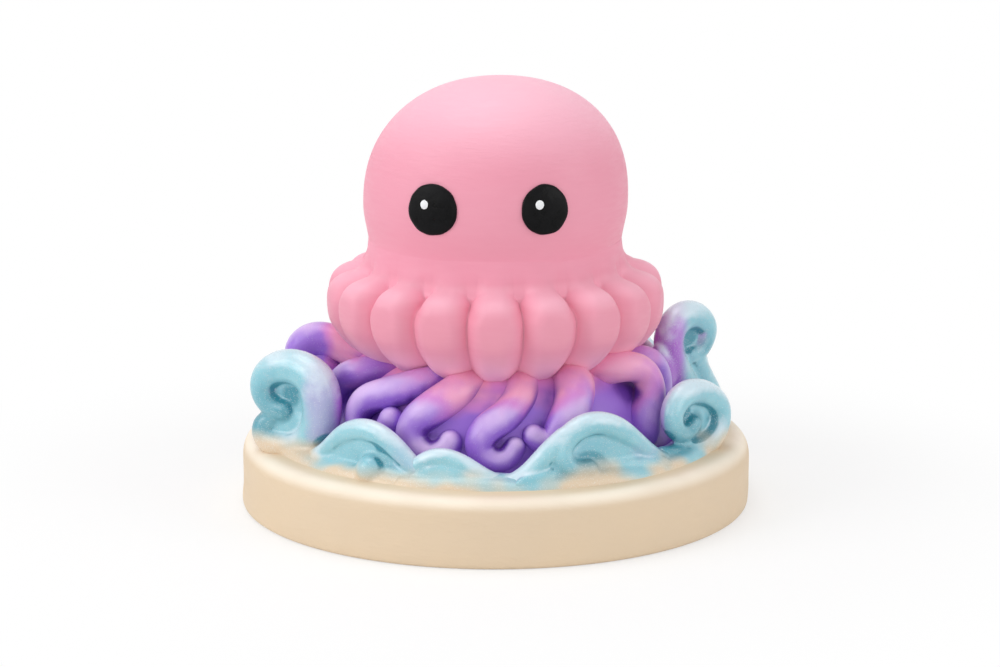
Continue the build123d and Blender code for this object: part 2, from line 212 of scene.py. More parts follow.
def through(points, count, readings=40):
    """Natural cubic spline through the rows of points, read at count places of even spacing.

    The parameter is the running sum of the square roots of the distances between the points,
    and the second derivatives come from the usual tridiagonal system.
    """
    p = np.asarray(points, float)
    gaps = np.linalg.norm(np.diff(p[:, :3], axis=0), axis=1)
    t = np.concatenate([[0], np.cumsum(np.sqrt(gaps))])
    h = np.diff(t)[:, None]
    system, right = np.eye(len(t)), np.zeros_like(p)
    k = np.arange(1, len(t) - 1)
    system[k, k - 1], system[k, k + 1] = h[:-1, 0], h[1:, 0]
    system[k, k] = 2 * (h[:-1, 0] + h[1:, 0])
    right[1:-1] = 6 * ((p[2:] - p[1:-1]) / h[1:] - (p[1:-1] - p[:-2]) / h[:-1])
    bend = np.linalg.solve(system, right)

    def read(u):
        """Spline at parameters u."""
        k = np.clip(np.searchsorted(t, u, "right") - 1, 0, len(t) - 2)
        a = (t[k + 1] - u)[:, None] / h[k]
        b = 1 - a
        curve = (a**3 - a) * bend[k] + (b**3 - b) * bend[k + 1]
        return a * p[k] + b * p[k + 1] + curve * h[k] ** 2 / 6

    fine = np.linspace(0, t[-1], readings * len(t))
    steps = np.linalg.norm(np.diff(read(fine)[:, :3], axis=0), axis=1)
    run = np.concatenate([[0], np.cumsum(steps)])
    return read(np.interp(np.linspace(0, run[-1], count), run, fine))


def outline(places, count):
    """Columns of radii, heights and what else the places of a smooth outline hold."""
    line = through([(radius, 0, *rest) for radius, *rest in places], count)
    return [line[:, k][:, None] for k in range(line.shape[1]) if k != 1]


def tangled(rows, columns):
    """Faces of a grid of points that closes round its columns, with a pole at each end.

    The grid's points come first, row by row, then the two poles. Quads and triangles are returned.
    """
    r, c = np.meshgrid(np.arange(rows - 1), np.arange(columns), indexing="ij")
    here, after = r * columns + c, r * columns + (c + 1) % columns
    quads = np.stack([here, after, after + columns, here + columns], axis=-1).reshape(-1, 4)
    ring = np.arange(columns)
    follow = (ring + 1) % columns
    first, last = rows * columns, rows * columns + 1
    foot = np.stack([np.full(columns, first), follow, ring], axis=-1)
    top = (rows - 1) * columns
    head = np.stack([np.full(columns, last), top + ring, top + follow], axis=-1)
    return quads, np.concatenate([foot, head])


def lathe(surface, first, last):
    """Closed skin from a grid of points, rows by columns by 3, and the poles at its ends."""
    rows, columns = surface.shape[:2]
    points = np.concatenate([surface.reshape(-1, 3), [first], [last]])
    return points, *tangled(rows, columns)


def tube(path, radius, around, caps=6):
    """Round tube along a path: a circle of the path's radius at each point, with half-ball ends.

    The circle's first direction is carried along the path and turned square to it at each point.
    """
    askew = (0.31, 0.23, 0.92)
    heading = np.gradient(path, axis=0)
    heading /= np.linalg.norm(heading, axis=1)[:, None]
    side = np.cross(heading[0], askew)
    sides = np.empty_like(path)
    for k in range(len(path)):
        side = side - heading[k] * (side @ heading[k])
        side = side / np.linalg.norm(side)
        sides[k] = side
    bend = np.linspace(np.pi / 2, 0, caps + 1)[1:-1]
    centre = np.concatenate(
        [
            path[0] - heading[0] * radius[0] * np.sin(bend)[:, None],
            path,
            path[-1] + heading[-1] * radius[-1] * np.sin(bend[::-1])[:, None],
        ]
    )
    size = np.concatenate([radius[0] * np.cos(bend), radius, radius[-1] * np.cos(bend[::-1])])
    held = [(caps - 1, caps - 1), (0, 0)]
    across, ahead = (np.pad(rows, held, mode="edge") for rows in (sides, heading))
    over = np.cross(ahead, across)
    turn = all_round(around)[..., None]
    ring = across[:, None] * np.cos(turn) + over[:, None] * np.sin(turn)
    surface = centre[:, None] + ring * size[:, None, None]
    ends = path[0] - heading[0] * radius[0], path[-1] + heading[-1] * radius[-1]
    return lathe(surface, *ends)


def pebble(centre, axes, half, rows=14, columns=22):
    """Ball squashed to half widths along three axes."""
    up = np.linspace(-np.pi / 2, np.pi / 2, rows + 2)[1:-1][:, None]
    turn = all_round(columns)
    local = np.stack(
        np.broadcast_arrays(np.cos(up) * np.cos(turn), np.cos(up) * np.sin(turn), np.sin(up)), -1
    )
    frame_of = np.asarray(axes) * np.asarray(half)[:, None]
    poles = centre - frame_of[2], centre + frame_of[2]
    return lathe(centre + local @ frame_of, *poles)


def merged(*skins):
    """Several closed skins in one set of points, quads and triangles, not yet melted together."""
    starts = np.cumsum([0] + [len(s[0]) for s in skins])
    points = np.concatenate([s[0] for s in skins])
    quads = np.concatenate([s[1] + n for s, n in zip(skins, starts)])
    triangles = np.concatenate([s[2] + n for s, n in zip(skins, starts)])
    return points, quads, triangles


def mesh_of(name, points, quads, triangles):
    """Blender mesh of points in millimetres and faces, in metres."""
    mesh = bpy.data.meshes.new(name)
    corners = np.concatenate([quads.ravel(), triangles.ravel()]).astype(np.int32)
    counts = np.concatenate([np.full(len(quads), 4), np.full(len(triangles), 3)])
    starts = np.concatenate([[0], np.cumsum(counts)[:-1]]).astype(np.int32)
    mesh.vertices.add(len(points))
    mesh.vertices.foreach_set("co", (np.asarray(points) * MM).astype(np.float32).ravel())
    mesh.loops.add(len(corners))
    mesh.loops.foreach_set("vertex_index", corners)
    mesh.polygons.add(len(counts))
    mesh.polygons.foreach_set("loop_start", starts)
    mesh.polygons.foreach_set("use_smooth", np.ones(len(counts), bool))
    mesh.update(calc_edges=True)
    return mesh


def linked(name, data):
    """New object of the scene."""
    made = bpy.data.objects.new(name, data)
    bpy.context.scene.collection.objects.link(made)
    return made


def coordinates(mesh):
    """Points of a mesh in millimetres and its unit normals."""
    points = np.empty(3 * len(mesh.vertices), np.float32)
    mesh.vertices.foreach_get("co", points)
    normals = np.empty(3 * len(mesh.vertices), np.float32)
    mesh.vertex_normals.foreach_get("vector", normals)
    return points.reshape(-1, 3) / MM, normals.reshape(-1, 3)


def melted(name, skin, voxel, rounds=6):
    """Mesh of overlapping closed skins joined into one soft form.

    The skins are remeshed on a grid of cells, then every point is moved in turn towards and away
    from the mean of its neighbours, which rounds the creases and keeps the volume.
    """
    towards, away, last = 0.55, -0.57, 0.5
    rough = linked(name, mesh_of(name, *skin))
    remesh = rough.modifiers.new("melt", "REMESH")
    remesh.mode, remesh.voxel_size, remesh.use_smooth_shade = "VOXEL", voxel, True
    evaluated = rough.evaluated_get(bpy.context.evaluated_depsgraph_get())
    mesh = bpy.data.meshes.new_from_object(evaluated)
    bpy.data.meshes.remove(rough.data)
    points = coordinates(mesh)[0].astype(float)
    edges = np.empty(2 * len(mesh.edges), np.int32)
    mesh.edges.foreach_get("vertices", edges)
    tail, head = edges.reshape(-1, 2).T
    count = np.bincount(edges, minlength=len(points))[:, None]
    for move in (towards, away) * rounds + (last,):
        mean = [
            np.bincount(tail, points[head, k], len(points))
            + np.bincount(head, points[tail, k], len(points))
            for k in range(3)
        ]
        points += move * (np.stack(mean, -1) / count - points)
    mesh.vertices.foreach_set("co", (points * MM).astype(np.float32).ravel())
    mesh.polygons.foreach_set("use_smooth", np.ones(len(mesh.polygons), bool))
    mesh.update()
    return mesh


def spread(mesh, count):
    """About count points of a mesh with their normals and the area that each stands for."""
    points, normals = coordinates(mesh)
    step = max(1, len(points) // count)
    area = np.empty(len(mesh.polygons), np.float32)
    mesh.polygons.foreach_get("area", area)
    area = area.sum() / MM**2
    points, normals = points[::step], normals[::step]
    return points, normals, np.full(len(points), area / len(points), np.float32)


def shade(points, normals, others, reach=11.0, soften=0.5):
    """How much of each point's outlook is covered by surfaces near it, from 0 to about 1.

    Every other sample adds its area, as it is turned towards the point and the point towards it,
    over pi times the softened square of the distance, and counts less the nearer it is to reach.
    """
    there, facing, area = (np.concatenate(rows).astype(np.float32) for rows in zip(*others))
    own = np.einsum("ij,ij->i", there, facing)
    found = np.empty(len(points), np.float32)
    for k in range(0, len(points), CHUNK):
        here, normal = points[k : k + CHUNK].astype(np.float32), normals[k : k + CHUNK]
        square = (here**2).sum(1)[:, None] + (there**2).sum(1)[None] - 2 * here @ there.T + soften
        out = normal @ there.T - np.einsum("ij,ij->i", here, normal)[:, None]
        back = here @ facing.T - own[None]
        fade = np.clip(1 - square / reach**2, 0, 1)
        part = np.clip(out, 0, None) * np.clip(back, 0, None) * fade / np.square(square)
        found[k : k + CHUNK] = part @ area / np.pi
    return found


def note(mesh, name, values):
    """Writes one number for each point of a mesh as a named attribute."""
    layer = mesh.attributes.new(name, "FLOAT", "POINT")
    layer.data.foreach_set("value", np.asarray(values, np.float32))


def piece(name, mesh, material, slot, *nodes):
    """Places a finished mesh as a piece that stands for nodes of the solid model."""
    made = linked(name, mesh)
    mesh.materials.clear()
    mesh.materials.append(material)
    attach(made, "root")
    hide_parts(*nodes)


def feed(tree, socket, value):
    """Gives an input socket its value, linked where the value is a socket and set otherwise."""
    if isinstance(value, bpy.types.NodeSocket):
        tree.links.new(value, socket)
    else:
        socket.default_value = value


def add(tree, kind, inputs=(), **settings):
    """New shader node with its settings and its inputs, by name or number."""
    made = tree.nodes.new(kind)
    for key, value in settings.items():
        setattr(made, key, value)
    for key, value in dict(inputs).items():
        feed(tree, made.inputs[key], value)
    return made


def step(tree, value, low, high, start=0.0, end=1.0):
    """Soft step of a value from start at low to end at high."""
    inputs = {"Value": value, "From Min": low, "From Max": high, "To Min": start, "To Max": end}
    made = add(tree, "ShaderNodeMapRange", inputs, interpolation_type="SMOOTHSTEP")
    return made.outputs["Result"]


def sums(tree, way, first, second):
    """Arithmetic on two values."""
    return add(tree, "ShaderNodeMath", {0: first, 1: second}, operation=way).outputs[0]


def group(name, **sockets):
    """New shader node group with named sockets, each given its way and its kind.

    Returns its tree, the sockets that lead in and those that lead out.
    """
    tree = bpy.data.node_groups.new(name, "ShaderNodeTree")
    for label, (way, kind) in sockets.items():
        tree.interface.new_socket(name=label, in_out=way, socket_type="NodeSocket" + kind)
    start, end = tree.nodes.new("NodeGroupInput"), tree.nodes.new("NodeGroupOutput")
    return tree, start.outputs, end.inputs


def brush_marks():
    """Group: streaks of a brush, long where the scale is small, with a broad drift of tone."""
    found = bpy.data.node_groups.get("Brush marks")
    if found:
        return found
    tree, start, end = group(
        "Brush marks",
        Vector=("INPUT", "Vector"),
        Scale=("INPUT", "Vector"),
        Drift=("INPUT", "Float"),
        Streak=("OUTPUT", "Float"),
        Tone=("OUTPUT", "Float"),
    )
    sides = {0: start["Vector"], 1: start["Scale"]}
    scaled = add(tree, "ShaderNodeVectorMath", sides, operation="MULTIPLY").outputs[0]
    bristles = {"Scale": 1.0, "Detail": 4.0, "Roughness": 0.62, "Distortion": 0.35}
    streak = add(tree, "ShaderNodeTexNoise", {"Vector": scaled, **bristles})
    broad = {"Vector": start["Vector"], "Scale": start["Drift"], "Detail": 2.0}
    tone = add(tree, "ShaderNodeTexNoise", broad)
    tree.links.new(step(tree, streak.outputs["Fac"], 0.32, 0.7), end["Streak"])
    tree.links.new(step(tree, tone.outputs["Fac"], 0.3, 0.7), end["Tone"])
    return tree


def pearl_flecks():
    """Group: small bright flakes of pearl, a share of the cells of a fine random pattern."""
    found = bpy.data.node_groups.get("Pearl flecks")
    if found:
        return found
    tree, start, end = group(
        "Pearl flecks",
        Vector=("INPUT", "Vector"),
        Scale=("INPUT", "Float"),
        Share=("INPUT", "Float"),
        Fleck=("OUTPUT", "Float"),
        Height=("OUTPUT", "Float"),
    )
    pattern = {"Vector": start["Vector"], "Scale": start["Scale"]}
    cells = add(tree, "ShaderNodeTexVoronoi", pattern).outputs
    chance = add(tree, "ShaderNodeSeparateColor", {"Color": cells["Color"]}).outputs[0]
    limit = sums(tree, "SUBTRACT", 1.0, start["Share"])
    picked = sums(tree, "GREATER_THAN", chance, limit)
    core = step(tree, cells["Distance"], 0.5, 0.15)
    tree.links.new(sums(tree, "MULTIPLY", picked, core), end["Fleck"])
    tree.links.new(sums(tree, "MULTIPLY", chance, core), end["Height"])
    return tree


class Coat:
    """A material in the making: its nodes, its shader and the colour laid on so far.

    add, step, times, plus and minus make nodes of the material, the last three by arithmetic.
    """

    def __init__(self, name, base, rough, **sockets):
        self.material = bpy.data.materials.new(name)
        self.material.use_nodes = True
        self.tree = self.material.node_tree
        self.shader = self.tree.nodes["Principled BSDF"]
        self.colour = base
        for key, value in {"Base_Color": base, "Roughness": rough, **sockets}.items():
            self.shader.inputs[key.replace("_", " ")].default_value = value
        self.add, self.step = partial(add, self.tree), partial(step, self.tree)
        ways = "MULTIPLY", "ADD", "SUBTRACT"
        self.times, self.plus, self.minus = (partial(sums, self.tree, way) for way in ways)
        self.vector = self.add("ShaderNodeTexCoord").outputs["Object"]

    def noise(self, **inputs):
        """Strength of a cloudy pattern over the piece."""
        return self.add("ShaderNodeTexNoise", {"Vector": self.vector, **inputs}).outputs["Fac"]

    def brush(self, scale, drift):
        """Outputs of the brush marks at a scale and a drift."""
        inputs = {"Vector": self.vector, "Scale": scale, "Drift": drift}
        return self.add("ShaderNodeGroup", inputs, node_tree=brush_marks()).outputs

    def flecks(self, scale, share):
        """Outputs of the pearl flecks at a scale, on a share of their cells."""
        inputs = {"Vector": self.vector, "Scale": scale, "Share": share}
        return self.add("ShaderNodeGroup", inputs, node_tree=pearl_flecks()).outputs

    def above(self):
        """Height over the plinth in millimetres."""
        height = self.add("ShaderNodeSeparateXYZ", {"Vector": self.vector}).outputs["Z"]
        return self.minus(self.times(height, 1 / MM), BASE_TOP)

    def layer(self, name):
        """Value of a named attribute of the piece."""
        return self.add("ShaderNodeAttribute", attribute_name=name).outputs["Fac"]

    def lay(self, share, colour):
        """Lays a colour by a share over what is there."""
        inputs = {0: share, 6: self.colour, 7: colour}
        self.colour = self.add("ShaderNodeMix", inputs, data_type="RGBA").outputs[2]

    def finish(self, height, depth, rough=None):
        """Gives the shader its colour, a bump of a depth in millimetres and any roughness."""
        inputs = {"Height": height, "Distance": depth * MM, "Strength": 1.0}
        bump = self.add("ShaderNodeBump", inputs)
        self.tree.links.new(self.colour, self.shader.inputs["Base Color"])
        self.tree.links.new(bump.outputs["Normal"], self.shader.inputs["Normal"])
        if rough is not None:
            self.tree.links.new(rough, self.shader.inputs["Roughness"])
        return self.material


def pink_skin(head):
    """Matte pink paint: fair pink on the crown and the shelf as painted highlight, and on the
    lobes' lower ends as painted light from below; a deeper pink in the grooves and at the neck as
    painted shade; brushed level.
    """
    coat = Coat("pink_skin", head.skin, 0.5, Specular_IOR_Level=0.42)
    above, marks = coat.above(), coat.brush((220, 220, 1400), 28.0)
    # Painted highlight: paler pink towards the crown, where the light from above falls
    coat.lay(coat.step(above, 54.0, 71.0), head.fair)
    # Painted light from below: the lobes' lower ends turn to the palest pink
    coat.lay(coat.step(above, 24.0, 15.5, 0.0, 0.95), head.bounce_light)
    # Painted highlight: a band of fair pink on the shelf, where the lobes' tops face up
    shelf = coat.times(coat.step(above, 29.5, 33.0), coat.step(above, 35.4, 33.2, 0.0, 0.6))
    coat.lay(shelf, head.fair)
    # Painted shade in the grooves and at the neck, by the groove layer
    coat.lay(coat.layer("groove"), head.rose_shade)
    coat.lay(coat.times(marks["Tone"], 0.12), head.fair)
    coat.lay(coat.times(marks["Streak"], 0.03), head.fair)
    forehead = coat.step(above, 48.0, 60.0, 0.08, 1.0)
    rough = coat.step(marks["Streak"], 0.0, 1.0, 0.56, 0.44)
    return coat.finish(coat.times(marks["Streak"], forehead), 0.045, rough)


def arm_paint(arms):
    """Pearly paint of the arms: pink roots, violet along, a whitish violet painted highlight on
    top and painted shade in the crevices.
    """
    coat = Coat("arm_paint", arms.violet, 0.36, Coat_Weight=0.18)
    marks, flecks = coat.brush((160, 160, 160), 140.0), coat.flecks(5200.0, 0.12)
    drift = coat.times(coat.minus(marks["Tone"], 0.5), 0.3)
    blush, lit = (coat.plus(coat.layer(name), drift) for name in ("blush", "lit"))
    # Painted highlight: pearly whitish violet where the arm faces up and out
    coat.lay(coat.step(lit, 0.32, 0.98), arms.lilac_highlight)
    coat.lay(coat.step(blush, 0.2, 0.6), arms.orchid)
    coat.lay(coat.step(blush, 0.5, 0.95), arms.root)
    # Painted shade in the crevices, where other surfaces cover the arm
    coat.lay(coat.layer("painted_shade"), arms.crevice_shade)
    coat.lay(coat.times(flecks["Fleck"], 0.25), (0.9, 0.85, 1, 1))
    return coat.finish(flecks["Height"], 0.03, coat.step(marks["Streak"], 0.0, 1.0, 0.44, 0.3))


def surf_paint(surf, sand):
    """Pearl turquoise of the surf: white crests as painted highlight, teal hollows as painted
    shade, a lavender lee and a sandy foot.
    """
    coat = Coat("surf_paint", surf.water, 0.34, Coat_Weight=0.6, Coat_Roughness=0.2)
    marks, cloud = coat.brush((260, 260, 420), 170.0), coat.brush((200, 200, 200), 75.0)
    flecks = coat.flecks(4200.0, 0.45)
    drift = coat.minus(marks["Tone"], 0.5)

    def drifting(name, share):
        """Attribute of the piece that a share of the drift blurs."""
        return coat.plus(coat.layer(name), coat.times(drift, share))

    coat.lay(coat.times(marks["Tone"], 0.6), surf.deeper)
    coat.lay(coat.step(drifting("lee", 0.4), 0.15, 0.75), surf.lavender)
    coat.lay(coat.step(drifting("flank", 0.3), 0.15, 1.0, 0.0, 0.8), surf.lavender)
    coat.lay(coat.step(coat.layer("over"), 0.1, 0.9), surf.orchid)
    streaks = coat.times(coat.minus(marks["Streak"], 0.5), 0.25)
    crest = coat.plus(drifting("crest", 0.5), streaks)
    # White pearl laid as a painted highlight on the crests that face up, outside the curled ends
    coat.lay(coat.step(crest, 0.1, 1.1, 0.0, 0.8), surf.pearl)
    # Painted shade: teal where the wave covers itself, in the curled ends and in the eyes of the
    # curls
    coat.lay(coat.step(drifting("hollow_shade", 0.12), 0.2, 0.8, 0.0, 0.9), surf.teal)
    foot = coat.plus(coat.above(), coat.times(coat.minus(cloud["Tone"], 0.5), 4.4))
    sandy = coat.times(coat.step(foot, 3.4, -0.4), coat.layer("outside"))
    coat.lay(sandy, sand.side)
    coat.lay(coat.times(flecks["Fleck"], 0.4), (0.93, 0.97, 1, 1))
    rough = coat.step(coat.minus(sandy, flecks["Fleck"]), -0.5, 0.8, 0.19, 0.58)
    return coat.finish(flecks["Height"], 0.05, rough)


def sand_paint(sand):
    """Matte sand colour: a paler rim as painted highlight, darker sand by the surf, broad mottling
    and a fine grain.
    """
    coat = Coat("sand_paint", sand.side, 0.62, Specular_IOR_Level=0.35)
    marks = coat.brush((90, 90, 260), 70.0)
    # Painted highlight: paler sand on the rounded rim
    coat.lay(coat.layer("rim"), sand.rim)
    coat.lay(coat.times(marks["Tone"], 0.22), (0.69, 0.56, 0.42, 1))
    # Darker sand on the plinth's top next to the foot of the surf
    coat.lay(coat.times(coat.layer("damp"), 0.2), (0.6, 0.56, 0.42, 1))
    grain = coat.times(coat.noise(Scale=1500.0, Detail=3.0), 0.35)
    rough = coat.step(marks["Streak"], 0.0, 1.0, 0.68, 0.55)
    return coat.finish(coat.plus(grain, marks["Streak"]), 0.08, rough)


def eye_paint(eyes):
    """Satin black with faint round brush marks."""
    coat = Coat("eye_paint", eyes.black, 0.28, Specular_IOR_Level=0.09)
    marks = coat.brush((420, 420, 420), 300.0)
    coat.lay(coat.times(marks["Streak"], 0.6), (0.006, 0.006, 0.007, 1))
    return coat.finish(marks["Streak"], 0.05, coat.step(marks["Streak"], 0.0, 1.0, 0.26, 0.48))


def glint_paint(eyes):
    """White dot of paint with a faint unevenness."""
    coat = Coat("glint_paint", eyes.white, 0.4)
    marks = coat.brush((900, 900, 900), 700.0)
    coat.lay(coat.times(marks["Tone"], 0.3), (0.72, 0.74, 0.78, 1))
    return coat.finish(marks["Streak"], 0.03)


def core_paint(arms):
    """Paint of the mound: painted shade low down and between the arms, orchid and pink under the
    skirt.
    """
    # The mound starts from the darker violet, painted shade low down
    coat = Coat("core_paint", arms.hollow_shade, 0.42)
    marks = coat.brush((160, 160, 160), 140.0)
    height = coat.plus(coat.above(), coat.times(coat.minus(marks["Tone"], 0.5), 3.0))
    coat.lay(coat.step(height, 1.0, 9.0), arms.violet)
    coat.lay(coat.step(height, 11.0, 14.5), arms.orchid)
    coat.lay(coat.step(height, 13.5, 17.0), arms.root)
    # Painted shade between the arms, where they and the skirt cover the mound
    coat.lay(coat.layer("painted_shade"), arms.crevice_shade)
    return coat.finish(marks["Streak"], 0.04, coat.step(marks["Streak"], 0.0, 1.0, 0.5, 0.36))


def felt_cloth():
    """Grey-brown felt of matted fibres."""
    coat = Coat("felt_cloth", tint(128, 118, 106), 0.95, Sheen_Weight=0.3)
    fibre = coat.step(coat.noise(Scale=2400.0, Detail=6.0, Distortion=1.5), 0.3, 0.7)
    coat.lay(fibre, tint(172, 162, 148))
    return coat.finish(fibre, 0.15)


def waviness(azimuth, height, depth, seed, count=6):
    """Slow hand-shaped waves over a round form: sines of seeded directions and phases."""
    rng = np.random.default_rng(seed)
    turns = rng.integers(2, 8, count)
    rises, phases = rng.uniform(-0.25, 0.25, count), rng.uniform(0, 6.28, count)
    total = 0.0
    for turn, rise, phase in zip(turns, rises, phases):
        total = total + np.sin(np.radians(azimuth) * turn + height * rise + phase)
    return depth * total / 3


# Head: level of its widest place over the neck, roundness of the dome, half width of the neck, how
# far the skin goes down into the skirt, and the height below the crown where its waves die away
HEAD_WIDEST = 9.3
HEAD_FULLNESS = 2.25
NECK_HALF = 24.45
HEAD_SUNK = 1.2
CROWN_CALM = 12
# Power of the height by which the head leans
LEAN_POWER = 1.7


def dome_radius(height):
    """Radius of the head over the neck: a superellipse above the widest level, a cosine below."""
    rise = np.clip((height - HEAD_WIDEST) / (HEAD_TOP - NECK_SEAT - HEAD_WIDEST), 0, 1)
    dome = HEAD_HALF * (1 - rise**HEAD_FULLNESS) ** (1 / HEAD_FULLNESS)
    blend = (1 - np.cos(np.pi * np.clip(height / HEAD_WIDEST, 0, 1))) / 2
    return np.where(height >= HEAD_WIDEST, dome, NECK_HALF + (HEAD_HALF - NECK_HALF) * blend)


def leaning(height, lean):
    """Sideways place of the head's middle at a height over the neck."""
    return lean * np.clip(height / (HEAD_TOP - NECK_SEAT), 0, 1) ** LEAN_POWER


def head_skin(head, columns=216, rows=130, neck_rows=25):
    """Dome: circles of the dome's radius that lean to the right, with slow waves in the radius.

    Rows follow the angle of the superellipse, so that they are closer near the crown.
    """
    full = HEAD_TOP - NECK_SEAT
    turn = np.linspace(0, np.pi / 2, rows)
    upper = HEAD_WIDEST + (full - HEAD_WIDEST) * np.sin(turn[:-1]) ** (2 / HEAD_FULLNESS)
    lower = np.linspace(-HEAD_SUNK, HEAD_WIDEST, neck_rows + 1)[:-1]
    height = np.concatenate([lower, upper])[:, None]
    azimuth = all_round(columns, 360)
    fade = np.clip((full - height) / CROWN_CALM, 0, 1)
    radius = dome_radius(np.maximum(height, 0))
    radius = radius + waviness(azimuth, height, head.unevenness / MM, SEEDS["head"]) * fade
    surface = at(azimuth, radius, NECK_SEAT + height)
    surface[..., 0] += leaning(height, head.lean / MM)
    top = (head.lean / MM, 0, NECK_SEAT + full)
    return lathe(surface, (0, 0, NECK_SEAT - HEAD_SUNK), top)


# Skirt: height, radius of a lobe's ridge and radius of the groove beside it, from the neck down
SKIRT_LINE = [
    (52.6, 24.55, 24.55),
    (51.6, 24.68, 24.65),
    (50.6, 24.84, 24.75),
    (49.4, 25.15, 24.95),
    (47.9, 26.0, 25.2),
    (46.9, 27.3, 25.4),
    (46.4, 28.9, 25.7),
    (45.8, 30.5, 25.8),
    (44.8, 31.9, 26.7),
    (43.4, 32.9, 28.1),
    (41.7, 33.5, 29.7),
    (39.8, 33.5, 30.0),
    (37.8, 33.0, 29.7),
    (36.0, 32.1, 28.9),
    (34.0, 30.7, 27.3),
    (32.2, 29.0, 25.6),
    (30.6, 27.0, 24.2),
    (29.2, 24.8, 22.9),
    (28.2, 22.4, 21.6),
]
# Distance of a lobe's flat front from the axis, and how softly it is cut
FACET = 33.0
FACET_SOFT = 0.4
# Powers of the offset in the arch and in the cosine that make up a lobe's section
ARCH_POWER = 2.4
COSINE_POWER = 1.8
# Share of the lobes' variety that goes into their fullness, and share of that in the flat front
SWELL_SHARE = 0.6
FACET_SWELL = 0.4
# A lobe's foot: the height where it begins to narrow, the run down to its end and how much it does
LOBE_FOOT = 34.0
LOBE_FOOT_RUN = 5.8
FOOT_NARROWING = 0.55
# A lobe's shelf: how much it narrows, and how far the grooves sag there
SHELF_NARROWING = 0.26
SHELF_SAG = 1.3


def skirt_skin(skirt, rows=96, across=36):
    """Ring of lobes: at each level the radius goes from the groove to the ridge of the lobe.

    Across a lobe the share of the ridge is half an arch and half a cosine of the offset to a
    power, so that ridge and groove are both round. A lobe narrows at its foot and its shelf, and
    the groove sags at the shelf. A flat facet softly cuts the front of each lobe, and each lobe is
    a little higher or fuller by seed. Returns the skin and, for each point, the depth in a groove
    that sets its painted shade.
    """
    lobes = skirt.lobes
    rng = np.random.default_rng(SEEDS["lobes"])
    ridge, height, groove = outline([(r, z, g) for z, r, g in SKIRT_LINE], rows)
    columns = lobes * across
    azimuth = np.arange(columns)[None, :] * 360 / columns - 180 / lobes
    lobe = (np.arange(columns) // across)[None, :]
    offset = np.abs(((np.arange(columns) % across) / across * 2 - 1))[None, :]
    foot = np.clip((LOBE_FOOT - height) / LOBE_FOOT_RUN, 0, 1)
    wide = np.sqrt(1 - FOOT_NARROWING * foot**2) - SHELF_NARROWING * ease(45.0, 47.4, height)
    place = np.clip(offset / wide, 0, 1)
    cosine = np.cos(np.pi * place**COSINE_POWER)
    share = 0.5 * np.sqrt(1 - place**ARCH_POWER) + 0.25 + 0.25 * cosine
    shift = rng.uniform(-1, 1, lobes)[lobe] * skirt.variety / MM
    swell = rng.uniform(-1, 1, lobes)[lobe] * skirt.variety / MM * SWELL_SHARE
    body = ease(50.0, 45.0, height) * ease(27.0, 33.0, height)
    sag = SHELF_SAG * (1 - share) * ease(42.5, 45.5, height) * ease(49.5, 46.8, height)
    radius = groove + (ridge - groove + swell * body) * share
    turn = np.radians(offset * 180 / lobes)
    proud = (radius * np.cos(turn) - FACET - FACET_SWELL * swell) / FACET_SOFT
    radius = radius - np.logaddexp(0, proud) * FACET_SOFT / np.cos(turn) * ease(47.5, 45.0, height)
    surface = at(azimuth, radius, height + shift * body * share - sag)
    painted_shade = (1 - share) * ease(50.5, 46.5, height) * ease(26.0, 31.0, height)
    skin = lathe(surface[::-1], (0, 0, SKIRT_LINE[-1][0]), (0, 0, SKIRT_LINE[0][0]))
    return skin, np.concatenate([painted_shade[::-1].ravel(), [0, 0]])


